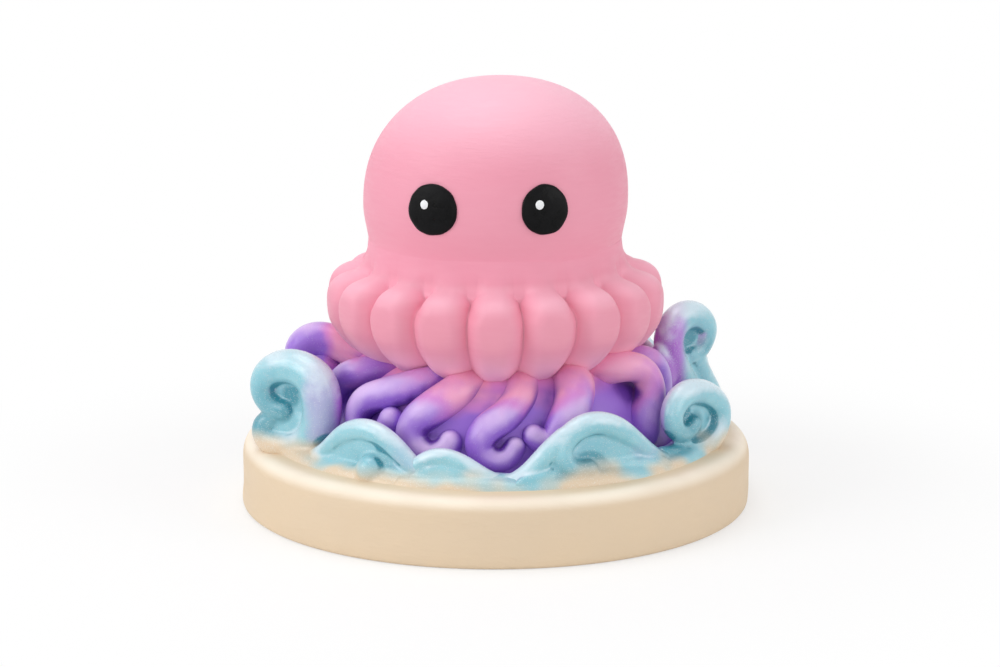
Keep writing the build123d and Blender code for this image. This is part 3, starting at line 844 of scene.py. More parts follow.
# Arms: azimuth, distance from the axis, height over the plinth and radius along each arm
ARM_LINES = {
    "arm_01": [
        (-57, 24, 15.5, 2.6), (-59, 27, 15.8, 2.6), (-62.5, 29.8, 15.4, 2.6),
        (-67.5, 31.4, 13.8, 2.5), (-71.5, 32, 11.2, 2.4), (-72.5, 32.3, 8.4, 2.3),
    ],
    "arm_02": [
        (-28, 24, 15.6, 2.8), (-31, 27, 15.4, 2.8), (-36.5, 29.6, 14.6, 2.8),
        (-43, 31.4, 13.3, 2.8), (-48.9, 32.4, 11.6, 2.7), (-51.4, 33, 8.9, 2.5),
        (-49.6, 33, 6.4, 2.4), (-44, 33, 5.6, 2.3), (-39, 32.9, 7, 2.2), (-36.4, 32.9, 9.4, 2.2),
    ],
    "arm_03": [
        (-12, 24, 15.2, 3.2), (-15, 27, 14.6, 3.2), (-19.3, 29.4, 13.2, 3.2),
        (-24, 31.4, 11.3, 3.1), (-27.4, 32.4, 9.3, 2.9), (-28.2, 33, 7, 2.8),
        (-26, 33.1, 4.8, 2.7), (-21.2, 33.1, 3.6, 2.6), (-16.8, 32.9, 4.6, 2.5),
        (-15, 32.6, 6.2, 2.2),
    ],
    "arm_04": [
        (12, 24, 15.2, 3), (10.2, 27, 14.2, 2.9), (7, 29.4, 12.8, 2.8), (2.6, 31.4, 11, 2.8),
        (-2.4, 32.7, 9.2, 2.7), (-4.9, 33.2, 6.8, 2.6), (-3.8, 33.4, 4.6, 2.4),
        (-0.2, 33.5, 3.3, 2.3), (3.6, 33.4, 3.8, 2.1), (6.2, 33.1, 5.6, 1.9),
    ],
    "arm_05": [
        (35, 24.4, 15.4, 3.5), (33, 27.2, 15, 3.6), (30, 29.6, 13.6, 3.5), (26.6, 31.5, 11.4, 3.3),
        (22.6, 32.5, 9, 2.9), (19.2, 32.9, 7.1, 2.5), (15.8, 32.9, 6.6, 2.2), (12.6, 32.6, 7.6, 2),
    ],
    "arm_06": [
        (52, 24, 16.2, 2.8), (53, 27, 16.8, 2.8), (56, 29.5, 17.2, 2.7), (60.5, 31.2, 16.6, 2.6),
        (63.4, 32.3, 14.9, 2.6), (64, 33, 12.4, 2.7), (62.4, 33.2, 10, 2.8),
        (59.8, 33.2, 7.8, 2.9), (58.8, 33.1, 5.6, 3), (59, 33, 4.2, 2.8),
    ],
    "arm_07": [
        (74.5, 24, 15.2, 2.7), (76, 27.5, 15.9, 2.7), (78.6, 29.8, 15.8, 2.6),
        (81.2, 31.4, 13.8, 2.6), (82, 32, 10.6, 2.6), (81.2, 32.4, 7.6, 2.5), (82.4, 33.4, 5, 2.3),
        (85, 33.5, 3.4, 2.1), (88.4, 33.4, 2.8, 2),
    ],
    "arm_15": [
        (-92, 24, 15.2, 2.9), (-93.5, 27, 15.8, 3), (-94.6, 30, 17, 3.1), (-95.2, 33.4, 18, 3.1),
        (-95.6, 36.6, 17.6, 3.1), (-95.8, 38.4, 15.2, 3), (-95.4, 36.6, 13, 2.9),
        (-94.6, 33.6, 13, 2.7),
    ],
}
# Arms at the back follow the line of arm_04: azimuth of the hook and the side that it swings to
BACK_ARMS = {
    "arm_08": (114, 1),
    "arm_09": (135.5, 1),
    "arm_10": (156.5, 1),
    "arm_11": (177.5, 1),
    "arm_12": (-163, -1),
    "arm_13": (-141, -1),
    "arm_14": (-119, -1),
}
# Mound behind the arms: distance from the axis and height over the plinth
MOUND_LINE = [
    (36, 0), (35.6, 1.2), (34.6, 2.8), (33.4, 5.2), (32.2, 8), (30.8, 11), (29, 13.6), (26.4, 16),
    (22, 17.4),
]
# Depth of the mound's waviness, and how far the mound is set in from its outline
MOUND_UNEVEN = 0.35
MOUND_INSET = 0.3


def mound_skin(columns=180, rows=60):
    """Mound turned from its outline, with slow waves in the radius."""
    radius, level = outline(MOUND_LINE, rows)
    azimuth = all_round(columns, 360)
    uneven = waviness(azimuth * 2, level, MOUND_UNEVEN, SEEDS["mound"])
    radius = radius + uneven * ease(0.5, 4.0, level) - MOUND_INSET
    surface = at(azimuth, radius, BASE_TOP + level)
    return lathe(surface, (0, 0, BASE_TOP), (0, 0, BASE_TOP + MOUND_LINE[-1][1]))


# Strength of the pink of the root and how far out it runs, where an arm isn't painted as the rest
BLUSH = {
    "arm_01": (0.45, 36.5),
    "arm_02": (0.35, 36.5),
    # arm_06's pink runs out along its limb as a painted highlight, beyond the pink of its root
    "arm_06": (1.0, 44),
    "arm_07": (0.6, 36.5),
    "arm_15": (0.8, 36.5),
}
PLAIN_BLUSH = (0.9, 36.5)


def arm_lines():
    """Every arm's line, those at the back swung round from the front one and varied by seed."""
    rng = np.random.default_rng(SEEDS["arms"])
    lines = dict(ARM_LINES)
    model = np.array(ARM_LINES["arm_04"])
    for name, (hook, side) in BACK_ARMS.items():
        line = model.copy()
        line[:, 0] = hook - side * model[:, 0]
        # Raised by a draw, less so along its last places, and made thinner or thicker
        line[:, 2] += rng.uniform(0.6, 2.2) * np.clip(len(line) - np.arange(len(line)), 0, 5) / 5
        line[:, 3] *= rng.uniform(0.95, 1.05)
        lines[name] = line
    return lines


def arm_skin(line, fullness, rows=120):
    """Arm: a round tube of changing radius along a smooth line through its places."""
    azimuth, radius, level, thick = np.asarray(line, float).T
    places = np.concatenate([at(azimuth, radius, BASE_TOP + level), thick[:, None]], axis=1)
    path = through(places, rows)
    return tube(path[:, :3], path[:, 3] * fullness, around=30)


# A wave: azimuth and distance of its middle, yaw of its plane, then lines of places on its crest
# (along, up, out, radius), hollow faces behind them (along, up, out, half widths) and round tips.
Wave = namedtuple("Wave", "azimuth middle yaw lines faces tips", defaults=[()])
# Distance of most waves' middles from the axis, and the line and face of a wave that is rolled up
SURF_RADIUS = 41
ROLLED = [
    (-9.5, 1.8, 0.3, 1.9), (-3.5, 1.2, 0.6, 2.1), (3.4, 1.5, 0.5, 2.3), (7.2, 3.5, 0.2, 2.4),
    (8.3, 7.2, 0, 2.5), (5.3, 10.7, 0, 2.5), (-0.6, 12.6, 0, 2.5), (-4.9, 11.4, 0, 2.4),
    (-6.6, 8.8, 0.2, 2.2), (-5.6, 6.2, 0.4, 2), (-2.9, 5.2, 0.6, 1.8), (-0.6, 6.6, 0.8, 1.6),
]
ROLLED_FACE = (0.8, 6.5, -0.9, 6.5, 5.5, 1.3)
WAVES = {
    "wave_1": Wave(
        -68, 42.5, 36,
        lines=[
            [
                (-3.6, 6.4, 0.4, 1.9), (-5.5, 4.9, 0.4, 2.4), (-4.9, 2.6, 0.4, 2.7),
                (-0.8, 1.6, 0.5, 2.8), (4.2, 2.8, 0.3, 3.2), (7.2, 7, 0, 3.7), (7.6, 11.5, 0, 3.9),
                (6.4, 14.9, 0, 3.8), (3.6, 16.8, 0, 3.5), (-0.5, 17.1, 0, 3.3),
                (-4.5, 15.1, 0.2, 3), (-5.5, 11.8, 0.4, 2.7), (-3.4, 9.2, 0.6, 2.4),
                (-0.4, 8.6, 0.7, 2),
            ],
        ],
        faces=[(1, 11.5, -0.5, 6.5, 6, 1.3), (-0.5, 5.5, -0.2, 7, 4.5, 1.7)],
    ),
    "wave_2": Wave(
        -37, SURF_RADIUS, 0,
        lines=[
            [
                (14, 1, 0, 1.7), (11, 3.4, 0, 1.8), (8.6, 5.6, 0, 1.9), (6, 7.6, 0, 2),
                (3, 8.9, 0, 2.1), (-0.5, 9, 0, 2.1), (-4, 7.6, 0, 2.1), (-7.2, 5.2, 0, 2),
                (-10, 3, 0, 1.9), (-14, 1, 0, 1.7),
            ],
        ],
        faces=[(-0.5, 3.6, -0.6, 8, 5.2, 2.0), (-0.5, 1.5, -0.3, 13, 2.6, 2.2)],
        tips=[(3, 2.3, 1.7, 2.8)],
    ),
    "wave_3": Wave(
        -12, SURF_RADIUS, 0,
        lines=[
            [
                (-10, 1.2, 0, 1.6), (-7, 3, 0, 1.6), (-4, 5, 0, 1.7), (-0.9, 5.7, 0, 1.7),
                (3, 4.4, 0, 1.7), (6.4, 2.4, 0, 1.6), (9.4, 1.1, 0, 1.6), (12.6, 0.5, 0, 1.6),
            ],
        ],
        faces=[(-0.6, 2, -0.2, 7.5, 3.4, 2.4)],
    ),
    "wave_4": Wave(
        27, SURF_RADIUS, 0,
        lines=[
            [
                (18, 0.9, 0, 1.7), (14.5, 2.4, 0, 1.8), (11, 4.8, 0, 1.9), (8, 7.3, 0, 2),
                (4.6, 9.7, 0, 2.2), (0.7, 11.2, 0, 2.2), (-3, 10.9, 0, 2.2), (-6.2, 8.6, 0.2, 2.1),
                (-6.9, 5.6, 0.6, 2), (-5, 3.2, 1, 2), (-2.2, 3, 1.3, 1.9),
            ],
            [
                (-20.5, 0.4, 0, 1.6), (-17.4, 0.7, 0, 1.7), (-14.6, 1.9, 0, 1.8), (-12, 4, 0, 1.9),
                (-9.2, 6.8, 0, 2), (-6.4, 9.2, 0, 2),
            ],
        ],
        faces=[
            (0, 4.4, -0.9, 11.5, 6.4, 1.7), (0, 1.4, -0.4, 17, 3.2, 2.2),
            (-18, 1.3, 0, 5, 1.5, 1.7),
        ],
    ),
    "wave_5": Wave(
        65, 41.5, -16,
        lines=[ROLLED],
        faces=[ROLLED_FACE],
    ),
    "wave_6": Wave(
        104, SURF_RADIUS, -60,
        lines=[
            [
                (3.5, 2, 0, 2.4), (-1, 5.6, 0, 2.7), (-5, 10.4, 0, 3), (-7.5, 15.3, 0, 3),
                (-7.2, 19.2, 0, 3), (-4.6, 21.4, 0, 3), (-0.6, 21.4, 0, 2.9), (2.5, 18.6, 0, 2.7),
                (2.1, 16.2, 0.2, 2.4), (0.3, 14.2, 0.4, 2.1), (-2.2, 13.6, 0.6, 1.8),
            ],
            [
                (6.5, 0.5, -0.3, 2.8), (4.2, 5, -0.3, 2.8), (1.2, 10, -0.3, 2.6),
                (-0.5, 14, -0.3, 2.4),
            ],
        ],
        faces=[
            (-2.4, 17.6, -0.5, 5, 4.5, 1.4), (0, 9, -0.4, 4.5, 6.5, 2.0),
            (-9.2, 12.4, 0, 3.6, 5.5, 2.6),
        ],
    ),
}
# Strength of the lavender on a wave's right flank, and of the teal painted shade in the eye of its
# curl
FLANK = {"wave_1": 1.0, "wave_2": 0.6, "wave_4": 0.4}
EYE = {"wave_2": 0.2, "wave_3": 0.0, "wave_4": 0.45}
PLAIN_EYE = 0.85
# Waves at the back are rolled as the one at the right front: azimuth, height share and sense
BACK_WAVES = {
    "wave_7": (139, 0.98, 1),
    "wave_8": (175, 1.17, -1),
    "wave_9": (-147, 0.92, -1),
    "wave_10": (-109, 0.85, -1),
}


def wave_forms():
    """Every wave, those at the back rolled up as the right front one and scaled."""
    waves = dict(WAVES)
    ahead, lift, out, wide, tall, thick = ROLLED_FACE
    for name, (azimuth, share, sense) in BACK_WAVES.items():
        line = [(p * -sense * share, q * share, o, r * share**0.5) for p, q, o, r in ROLLED]
        face = (-ahead * sense * share, lift * share, out, wide * share, tall * share, thick)
        waves[name] = Wave(azimuth, SURF_RADIUS, 0, [line], [face])
    order = sorted(waves, key=lambda name: waves[name].azimuth)
    return {name: waves[name] for name in order}


def wave_place(wave, p, q, out):
    """Point of a wave: along its plane, up from the plinth and outwards.

    A wave that isn't turned off the ring is bent along it, so that p is measured round the ring.
    """
    p, q, out = (np.asarray(v, float) for v in (p, q, out))
    if wave.yaw == 0:
        return at(wave.azimuth + np.degrees(p / wave.middle), wave.middle + out, BASE_TOP + q)
    centre = at(wave.azimuth, wave.middle, 0.0)
    outward = at(wave.azimuth + wave.yaw, 1.0, 0.0)
    up = np.array([0.0, 0.0, 1.0])
    return (
        centre
        + p[..., None] * along(wave.azimuth + wave.yaw)
        + out[..., None] * outward
        + (BASE_TOP + q)[..., None] * up
    )


# Ridge of surf under the waves: distance from the axis, half width, heights at its ends and in its
# middle, depth of its foot and the height of its poles over the plinth
RIDGE_RADIUS = 40.5
RIDGE_HALF = 4.5
RIDGE_TROUGH = 2.4
RIDGE_SWELL = 3.2
RIDGE_FOOT = 0.7
RIDGE_POLE = 0.3
# Share of its length that it runs on past each end, and how much lower and narrower it gets there
RIDGE_OVERRUN = 0.12
RIDGE_LOWER = 0.5
RIDGE_NARROWER = 0.3


def ridge_skin(left, right, rows=40, columns=28):
    """Low ridge of surf between two azimuths: half ellipses over a shallow foot.

    It runs on a little past its ends and sinks there, so that it passes under its neighbours.
    """
    share = np.linspace(-RIDGE_OVERRUN, 1 + RIDGE_OVERRUN, rows)
    rise = np.sin(np.pi * np.clip(share, 0, 1)) ** 2
    sunk = np.clip(np.maximum(-share, share - 1) / RIDGE_OVERRUN, 0, 1)
    height = (RIDGE_TROUGH + (RIDGE_SWELL - RIDGE_TROUGH) * rise) * (1 - RIDGE_LOWER * sunk)
    half = RIDGE_HALF * (1 - RIDGE_NARROWER * sunk)
    turn = all_round(columns)
    lift = np.sin(turn) * np.where(np.sin(turn) > 0, height[:, None], RIDGE_FOOT)
    radius = RIDGE_RADIUS + half[:, None] * np.cos(turn)
    azimuth = (left + (right - left) * share)[:, None]
    surface = at(azimuth, radius, BASE_TOP + lift)
    ends = [at(azimuth[k, 0], RIDGE_RADIUS, BASE_TOP + RIDGE_POLE) for k in (0, -1)]
    return lathe(surface[:, ::-1], *ends)


# A line is rolled up where its end lies this far below its top and this far over the plinth
ROLL_DROP = 2.0
ROLL_LIFT = 2.5


def wave_skin(wave, left, right, rows=130):
    """All the closed forms of a wave, and its lines with their radii and their lit shares.

    The lit share is 1 all along a line, but on one that is rolled up only in its outer part. It
    lets the painted highlight onto the crests and leaves the curled ends to the painted shade.
    """
    skins, lines = [ridge_skin(left, right)], []
    share = np.linspace(0, 1, rows)
    for line in wave.lines:
        p, q, out, thick = np.asarray(line, float).T
        places = np.concatenate([wave_place(wave, p, q, out), thick[:, None]], axis=1)
        path = through(places, rows)
        rolled = path[:, 2].max() - ROLL_DROP > path[-1, 2] > BASE_TOP + ROLL_LIFT
        lit_share = ease(0.95, 0.72, share) * ease(0.05, 0.3, share) if rolled else np.ones(rows)
        lines.append(np.column_stack([path, lit_share]))
        skins.append(tube(path[:, :3], path[:, 3], around=24))
    facing = wave.azimuth + wave.yaw
    axes = [along(facing), at(facing, 1.0, 0.0), np.array([0.0, 0.0, 1.0])]
    for p, q, out, wide, tall, thick in wave.faces:
        skins.append(pebble(wave_place(wave, p, q, out), axes, (wide, thick, tall)))
    for p, q, out, size in wave.tips:
        skins.append(pebble(wave_place(wave, p, q, out), axes, (size, size, size)))
    return merged(*skins), np.concatenate(lines)


def stretches(waves):
    """Every wave with its name and the azimuths halfway to its neighbours."""
    names = list(waves)
    for k, name in enumerate(names):
        here, before, after = (waves[names[n % len(names)]].azimuth for n in (k, k - 1, k + 1))
        left, right = here - ((here - before) % 360) / 2, here + ((after - here) % 360) / 2
        yield name, waves[name], left, right


def crest_near(points, line):
    """How far each point is from a wave's lines, in radii, and the lit share there.

    The lit share is a mean over the lines, with weights that fall off from the nearest place by
    the exponential of six times the distance.
    """
    apart, lit_share = np.empty(len(points)), np.empty(len(points))
    for k in range(0, len(points), CHUNK):
        away = np.linalg.norm(points[k : k + CHUNK, None] - line[None, :, :3], axis=2)
        away = away / line[None, :, 3]
        apart[k : k + CHUNK] = away.min(1)
        pull = np.exp(-6 * (away - away.min(1, keepdims=True)))
        lit_share[k : k + CHUNK] = pull @ line[:, 4] / pull.sum(1)
    return apart, lit_share


def wave_layers(name, wave, line, mesh):
    """Where the paints of a wave go, for each point of its mesh, by the names of their layers."""
    points, normals = coordinates(mesh)
    radius = np.hypot(points[:, 0], points[:, 1])
    outward = points * LEVEL / radius[:, None]
    level = points[:, 2] - BASE_TOP
    covered = shade(points, normals, [spread(mesh, WAVE_SAMPLES)], 9.0)
    apart, lit_share = crest_near(points, line)
    upper = ease(-0.35, 0.8, normals[:, 2]) * ease(-2.0, 4.0, level)
    eye = np.linalg.norm(points - wave_place(wave, *wave.faces[0][:3]), axis=1)
    # Painted shade: where the wave covers itself, in its curled ends and round the eye of its curl
    hollow_shade = np.maximum(ease(0.06, 0.34, covered), 0.6 * (1 - lit_share))
    hollow_shade = np.maximum(hollow_shade, EYE.get(name, PLAIN_EYE) * ease(3.8, 1.2, eye))
    flank = (points - wave_place(wave, 0, 0, 0)) @ along(wave.azimuth + wave.yaw)
    return {
        # Painted highlight on the crests: near a line, outside its curled ends, facing up
        "crest": lit_share * ease(1.5, 1.0, apart) * upper,
        "hollow_shade": hollow_shade * ease(0.6, 2.4, level),
        "lee": ease(0.3, -0.65, (normals * outward).sum(1)),
        "outside": ease(38.0, 41.5, radius),
        "over": ease(40.2, 35.0, radius) * ease(3.0, 10.0, level),
        "flank": FLANK.get(name, 0.0) * ease(3.5, 9.5, flank) * ease(1.0, 4.5, level),
    }


# Plinth: distance from the axis and height, from under its edge round to the sand inside the surf
BASE_LINE = [
    (46.0, 0.0), (49.2, 0.0), (49.8, 0.35), (50.0, 1.0), (50.0, 4.0), (50.0, 7.0), (50.0, 9.6),
    (49.75, 11.1), (49.1, 12.2), (48.2, 12.8), (47.2, 13.05), (46.2, 13.2), (45.2, 13.5),
    (44.2, 13.95), (43.2, 14.25), (41.6, 14.3), (38.0, 13.5), (34.0, 13.0),
]


def base_skin(sand, columns=288, rows=110):
    """Plinth turned from its outline, with slow waves in its side and rim.

    Returns the skin and, for each point, how near the rim it is, for the painted highlight, and
    how near the surf, for the darker sand.
    """
    radius, height = outline(BASE_LINE, rows)
    azimuth = all_round(columns, 360)
    uneven = sand.unevenness / MM
    side = ease(0.5, 4.0, height) * ease(42.0, 49.0, radius)
    shift = waviness(azimuth, height, uneven, SEEDS["side"]) * side
    limit = np.minimum(radius + shift - uneven, BASE_HALF)
    drop = 0.5 * waviness(azimuth, radius, uneven, SEEDS["rim"]) * ease(11.0, 12.8, height)
    surface = at(azimuth, limit, np.clip(height + drop, 0, None))
    rim = ease(10.6, 12.6, height) * ease(45.0, 48.5, radius) * np.ones_like(azimuth)
    damp = ease(12.0, 12.9, height) * ease(47.6, 45.6, radius) * np.ones_like(azimuth)
    skin = lathe(surface, (0, 0, 0.0), (0, 0, BASE_LINE[-1][1]))
    return skin, np.append(rim.ravel(), [0, 0]), np.append(damp.ravel(), [0, 0])


# A daub of paint: how far its edge and its back lie below the skin that carries it
DAUB_EDGE = 0.5
DAUB_BACK = 1.2


def daub_skin(centre, across, over, out, half, bulge, seed, rough, rings=14, columns=56):
    """Domed daub of paint: rings that swell to an uneven edge, with a dome for its height.

    The edge is an ellipse with seeded ripples. It closes behind with a pole below the skin.
    """
    rng = np.random.default_rng(seed)
    turn = all_round(columns)
    edge = 1.0
    for waves in range(3, 14):
        ripple = rough * rng.normal() / waves**0.6
        edge = edge + ripple * np.cos(waves * turn + rng.uniform(0, 6.28))
    share = np.linspace(0, 1, rings + 1)[1:][:, None]
    share = np.concatenate([np.sin(share * np.pi / 2), [[1.0]], [[0.8]]])
    lift = np.sqrt(np.clip(1 - share**2, 0, 1)) * bulge
    lift[-2:] = [[-DAUB_EDGE], [-DAUB_BACK]]
    flat = share * edge
    surface = (
        centre
        + (flat * np.cos(turn) * half[0])[..., None] * across
        + (flat * np.sin(turn) * half[1])[..., None] * over
        + (lift * np.ones_like(turn))[..., None] * out
    )
    return lathe(surface, centre + out * bulge, centre - out * DAUB_BACK)


# Eyes: azimuth, height, half width and half height. Glints: across and up from the eye's middle
EYES = {"left": (-27.7, 61.7, 5.1, 4.85), "right": (20.9, 61.95, 4.6, 4.75)}
GLINTS = {"left": (-1.25, 0.95), "right": (-1.35, 1.05)}
GLINT_HALF = (0.85, 0.9)
# How far an eye's middle is sunk into the head, and a glint's stands out from it
EYE_SUNK = 0.15
GLINT_PROUD = 0.72
# Bulges of an eye and a glint, and the ripples in their edges as shares of their size
EYE_BULGE = 1.0
GLINT_BULGE = 0.3
EYE_RIPPLE = 0.012
GLINT_RIPPLE = 0.02


def eye_frame(side, lean):
    """Middle of an eye on the head's skin with its level, upward and outward directions."""
    azimuth, level = EYES[side][:2]
    height = level - NECK_SEAT
    radius = float(dome_radius(np.array(height)))
    slope = float(dome_radius(np.array(height - 0.5)) - dome_radius(np.array(height + 0.5)))
    out = at(azimuth, 1.0, slope)
    out = out / np.linalg.norm(out)
    across = along(azimuth)
    centre = at(azimuth, radius, level)
    centre[0] += float(leaning(np.array(height), lean))
    return centre, across, np.cross(out, across), out


class FIGURINE_OT_head(bpy.types.Operator):
    """Head: a leaning dome in pink paint"""

    bl_idname = "figurine.head"
    bl_label = "Head"

    def execute(self, context):
        head = context.scene.figurine_head
        mesh = mesh_of("octopus_head", *head_skin(head))
        # Painted shade at the neck: the lowest band of the head takes the deeper pink
        note(mesh, "groove", 0.3 * ease(55.0, 50.5, coordinates(mesh)[0][:, 2]))
        piece("octopus_head", mesh, pink_skin(head), "pink_paint", "head")
        return {"FINISHED"}


class FIGURINE_OT_skirt(bpy.types.Operator):
    """Skirt: a ring of flat-fronted lobes in the head's paint"""

    bl_idname = "figurine.skirt"
    bl_label = "Skirt of lobes"

    def execute(self, context):
        skin, painted_shade = skirt_skin(context.scene.figurine_skirt)
        mesh = mesh_of("lobed_skirt", *skin)
        x, y, height = coordinates(mesh)[0].T
        # Painted shade: the deeper pink goes into the grooves and round the neck
        neck = ease(46.5, 49.0, height) * ease(31.0, 27.0, np.hypot(x, y))
        note(mesh, "groove", np.maximum(0.32 * painted_shade, 0.3 * neck))
        piece("lobed_skirt", mesh, bpy.data.materials["pink_skin"], "pink_paint", "skirt_ring")
        return {"FINISHED"}


class FIGURINE_OT_arms(bpy.types.Operator):
    """Arms: curled tubes in violet pearl paint, darkened where they shade each other"""

    bl_idname = "figurine.arms"
    bl_label = "Arms and mound"

    def execute(self, context):
        arms = context.scene.figurine_arms
        material = arm_paint(arms)
        meshes = {}
        for name, line in arm_lines().items():
            meshes[name] = mesh_of("curled_" + name, *arm_skin(line, arms.fullness))
        near = [spread(mesh, ARM_SAMPLES) for mesh in meshes.values()]
        near.append(spread(bpy.data.objects["lobed_skirt"].data, SKIRT_SAMPLES))
        for name, mesh in meshes.items():
            points, normals = coordinates(mesh)
            radius = np.hypot(points[:, 0], points[:, 1])
            level = points[:, 2] - BASE_TOP
            facing = (normals * points * LEVEL / radius[:, None]).sum(1)
            covered = shade(points, normals, near)
            strength, reach = BLUSH.get(name, PLAIN_BLUSH)
            # Painted shade from how much other surfaces cover each point
            note(mesh, "painted_shade", ease(0.16, 0.62, covered) * ease(17.5, 13.5, level))
            note(mesh, "blush", strength * ease(6.0, 15.5, level) * ease(reach, 30.0, radius))
            # Facing up and out, which sets where the painted highlight goes
            note(mesh, "lit", 0.55 * facing + 0.6 * normals[:, 2])
            piece("curled_" + name, mesh, material, "violet_paint", name)
        mound = mesh_of("violet_mound", *mound_skin())
        points, normals = coordinates(mound)
        covered = shade(points, normals, near)
        # Painted shade on the mound where the arms and the skirt cover it
        note(mound, "painted_shade", ease(0.15, 0.6, covered) * ease(16.5, 12.5, points[:, 2] - BASE_TOP))
        piece("violet_mound", mound, core_paint(arms), "violet_paint", "body_core")
        return {"FINISHED"}


class FIGURINE_OT_surf(bpy.types.Operator):
    """Surf: a ring of ridges and rolled crests melted together, in pearl turquoise"""

    bl_idname = "figurine.surf"
    bl_label = "Surf"

    def execute(self, context):
        surf = context.scene.figurine_surf
        material = surf_paint(surf, context.scene.figurine_sand)
        for name, wave, left, right in stretches(wave_forms()):
            skin, line = wave_skin(wave, left, right)
            mesh = melted("surf_" + name, skin, surf.voxel)
            for layer, values in wave_layers(name, wave, line, mesh).items():
                note(mesh, layer, values)
            piece("surf_" + name, mesh, material, "surf_pearl", name)
        return {"FINISHED"}


class FIGURINE_OT_plinth(bpy.types.Operator):
    """Plinth: a round slab of sand with a soft uneven rim, and the felt under it"""

    bl_idname = "figurine.plinth"
    bl_label = "Plinth and felt"

    def execute(self, context):
        sand = context.scene.figurine_sand
        skin, rim, damp = base_skin(sand)
        mesh = mesh_of("sand_plinth", *skin)
        # The rim layer sets the painted highlight on the rounded rim
        note(mesh, "rim", rim)
        note(mesh, "damp", damp)
        piece("sand_plinth", mesh, sand_paint(sand), "sand_paint", "sand_base")
        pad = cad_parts["felt_pad"]
        pad.data.materials.clear()
        pad.data.materials.append(felt_cloth())
        return {"FINISHED"}


class FIGURINE_OT_eyes(bpy.types.Operator):
    """Eyes: domed daubs of black paint, each with a white glint"""

    bl_idname = "figurine.eyes"
    bl_label = "Eyes"

    def execute(self, context):
        eyes = context.scene.figurine_eyes
        lean = context.scene.figurine_head.lean / MM
        black, white = eye_paint(eyes), glint_paint(eyes)
        for k, side in enumerate(EYES):
            centre, *axes = eye_frame(side, lean)
            across, over, out = axes
            look = EYES[side][2:], EYE_BULGE, SEEDS["eyes"] + k, EYE_RIPPLE
            skin = daub_skin(centre - out * EYE_SUNK, *axes, *look)
            name = "eye_daub_" + side
            piece(name, mesh_of(name, *skin), black, "eye_black", "eye_" + side)
            right, up = GLINTS[side]
            spot = centre + across * right + over * up + out * GLINT_PROUD
            look = GLINT_HALF, GLINT_BULGE, SEEDS["glints"] + k, GLINT_RIPPLE
            skin = daub_skin(spot, *axes, *look, rings=6, columns=28)
            name = "glint_dot_" + side
            piece(name, mesh_of(name, *skin), white, "eye_white", "glint_" + side)
        return {"FINISHED"}


# Camera: degrees that it looks down and to the right, the width of its sensor in millimetres, and
# the nearest and farthest distance that it sees, in metres
CAMERA_DIP = 12.865
CAMERA_PAN = 0.0947
SENSOR = 36.0
CAMERA_CLIP = (0.05, 20.0)
# Floor: nearest and farthest ring, its level a little below the plinth, and its rings and columns
FLOOR_REACH = (20.0, 6000.0)
FLOOR_LEVEL = -0.02
FLOOR_GRID = (40, 96)
# Distances in metres between which the floor turns white, and the shares of white there
FLOOR_FADE = (0.055, 0.13, 0.55, 1.0)
# Lamps: place in metres and watts. Each is a disc that looks at the figurine's middle
LAMPS = {
    "lamp_left": ((-0.55, -0.25, 0.34), 1.65),
    "lamp_right": ((0.55, -0.25, 0.26), 1.0),
    "lamp_top": ((-0.1, 0.06, 0.7), 1.5),
    "lamp_front": ((0.0, -0.7, 0.06), 0.6),
}
LAMP_SIZE = 0.5
LAMP_AIM = Vector((0, 0, 0.045))
WORLD_LIGHT = 0.48


def seen_by(tree, *rays):
    """1 for rays of the named kinds and 0 for others."""
    path = tree.nodes.new("ShaderNodeLightPath").outputs
    found = path[rays[0]]
    for ray in rays[1:]:
        found = sums(tree, "MAXIMUM", found, path[ray])
    return found


def aimed(made, direction):
    """Turns a camera or a lamp to look along a direction."""
    made.rotation_euler = direction.to_track_quat("-Z", "Y").to_euler()


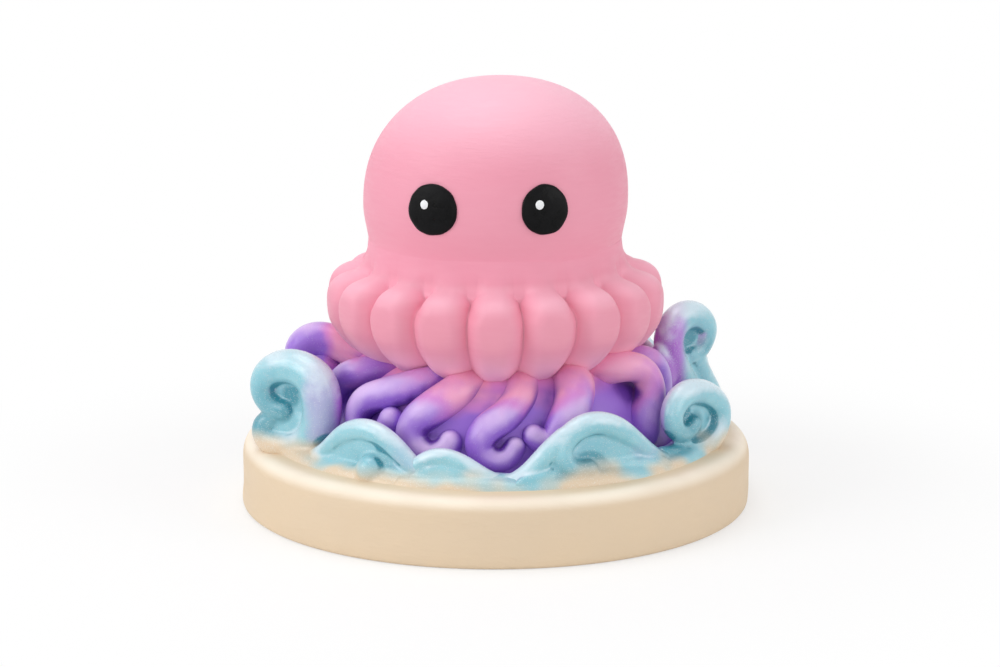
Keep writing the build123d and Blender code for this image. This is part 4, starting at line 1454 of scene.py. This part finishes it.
class FIGURINE_OT_stage(bpy.types.Operator):
    """Stage: the camera, a white floor and soft lamps from both sides, above and low in front"""

    bl_idname = "figurine.stage"
    bl_label = "Stage"

    def execute(self, context):
        stage = context.scene.figurine_stage
        context.scene.view_settings.view_transform = "Standard"
        context.scene.camera = self.camera(stage)
        context.scene.world = self.world(stage)
        self.floor(stage)
        self.lamps(stage)
        return {"FINISHED"}

    def camera(self, stage):
        """Camera on the photograph's sight line, panned and tilted to the picture's middle."""
        data = bpy.data.cameras.new("camera")
        data.sensor_width, data.lens = SENSOR, stage.lens
        data.clip_start, data.clip_end = CAMERA_CLIP
        made = linked("camera", data)
        rise = stage.elevation
        made.location = (0, -stage.distance * math.cos(rise), stage.distance * math.sin(rise))
        dip, pan = math.radians(CAMERA_DIP), math.radians(CAMERA_PAN)
        level = math.cos(dip)
        aimed(made, Vector((math.sin(pan) * level, math.cos(pan) * level, -math.sin(dip))))
        return made

    def floor(self, stage):
        """Round floor that fades into the white of the world."""
        rings, columns = FLOOR_GRID
        radius = np.geomspace(*FLOOR_REACH, rings)[:, None]
        surface = at(all_round(columns, 360), radius, np.full_like(radius, FLOOR_LEVEL))
        quads, triangles = tangled(rings, columns)
        points = np.concatenate([surface.reshape(-1, 3), [(0, 0, FLOOR_LEVEL)]])
        mesh = mesh_of("floor", points, quads, triangles[:columns])
        coat = Coat("floor_white", stage.floor, 0.8, Specular_IOR_Level=0.1)
        coat.lay(coat.noise(Scale=3.0), tint(252, 252, 252))
        coat.tree.links.new(coat.colour, coat.shader.inputs["Base Color"])
        apart = coat.add("ShaderNodeVectorMath", {0: coat.vector}, operation="LENGTH")
        fade = coat.step(apart.outputs["Value"], *FLOOR_FADE)
        share = coat.times(seen_by(coat.tree, "Is Camera Ray", "Is Glossy Ray"), fade)
        glow = coat.add("ShaderNodeEmission", {"Color": (1, 1, 1, 1), "Strength": 1.0})
        sides = {0: share, 1: coat.shader.outputs[0], 2: glow.outputs[0]}
        blend = coat.add("ShaderNodeMixShader", sides)
        end = coat.tree.nodes["Material Output"]
        coat.tree.links.new(blend.outputs[0], end.inputs["Surface"])
        mesh.materials.append(coat.material)
        linked("floor", mesh)

    def world(self, stage):
        """World that is white to the camera and softer for the light it gives."""
        made = bpy.data.worlds.new("studio")
        made.use_nodes = True
        tree = made.node_tree
        tree.nodes.clear()
        seen = seen_by(tree, "Is Camera Ray", "Is Glossy Ray", "Is Transmission Ray")
        strength = step(tree, seen, 0.0, 1.0, WORLD_LIGHT * stage.power, 1.0)
        sky = add(tree, "ShaderNodeBackground", {"Color": (1, 1, 1, 1), "Strength": strength})
        add(tree, "ShaderNodeOutputWorld", {"Surface": sky.outputs[0]})
        return made

    def lamps(self, stage):
        """Large soft lamps."""
        for name, (place, watts) in LAMPS.items():
            data = bpy.data.lights.new(name, "AREA")
            data.shape, data.size, data.energy = "DISK", LAMP_SIZE, watts * stage.power
            made = linked(name, data)
            made.location = place
            aimed(made, LAMP_AIM - Vector(place))


OPERATORS = (
    FIGURINE_OT_head,
    FIGURINE_OT_skirt,
    FIGURINE_OT_arms,
    FIGURINE_OT_surf,
    FIGURINE_OT_plinth,
    FIGURINE_OT_eyes,
    FIGURINE_OT_stage,
)


class FIGURINE_PT_panel(bpy.types.Panel):
    """Sizes and colours of the figurine with a button for each group of pieces"""

    bl_idname = "FIGURINE_PT_panel"
    bl_label = "Octopus figurine"
    bl_space_type = "VIEW_3D"
    bl_region_type = "UI"
    bl_category = "Figurine"

    def draw(self, context):
        for key, kind in SETTINGS.items():
            box = self.layout.box()
            settings = getattr(context.scene, key)
            for name in kind.__annotations__:
                box.prop(settings, name)
        for operator in OPERATORS:
            self.layout.operator(operator.bl_idname)


SETTINGS = {
    "figurine_head": HeadSettings,
    "figurine_skirt": SkirtSettings,
    "figurine_arms": ArmSettings,
    "figurine_surf": SurfSettings,
    "figurine_sand": SandSettings,
    "figurine_eyes": EyeSettings,
    "figurine_stage": StageSettings,
}


def register():
    """Adds the settings, the operators and the panel to Blender."""
    for kind in (*SETTINGS.values(), *OPERATORS, FIGURINE_PT_panel):
        bpy.utils.register_class(kind)
    for key, kind in SETTINGS.items():
        setattr(bpy.types.Scene, key, PointerProperty(type=kind))


def unregister():
    """Takes out what register adds."""
    for key in SETTINGS:
        delattr(bpy.types.Scene, key)
    for kind in reversed((*SETTINGS.values(), *OPERATORS, FIGURINE_PT_panel)):
        bpy.utils.unregister_class(kind)


def main():
    """Builds the pieces and the stage."""
    register()
    bpy.ops.figurine.head()
    bpy.ops.figurine.skirt()
    bpy.ops.figurine.arms()
    bpy.ops.figurine.surf()
    bpy.ops.figurine.plinth()
    bpy.ops.figurine.eyes()
    bpy.ops.figurine.stage()


if __name__ == "__main__":
    main()
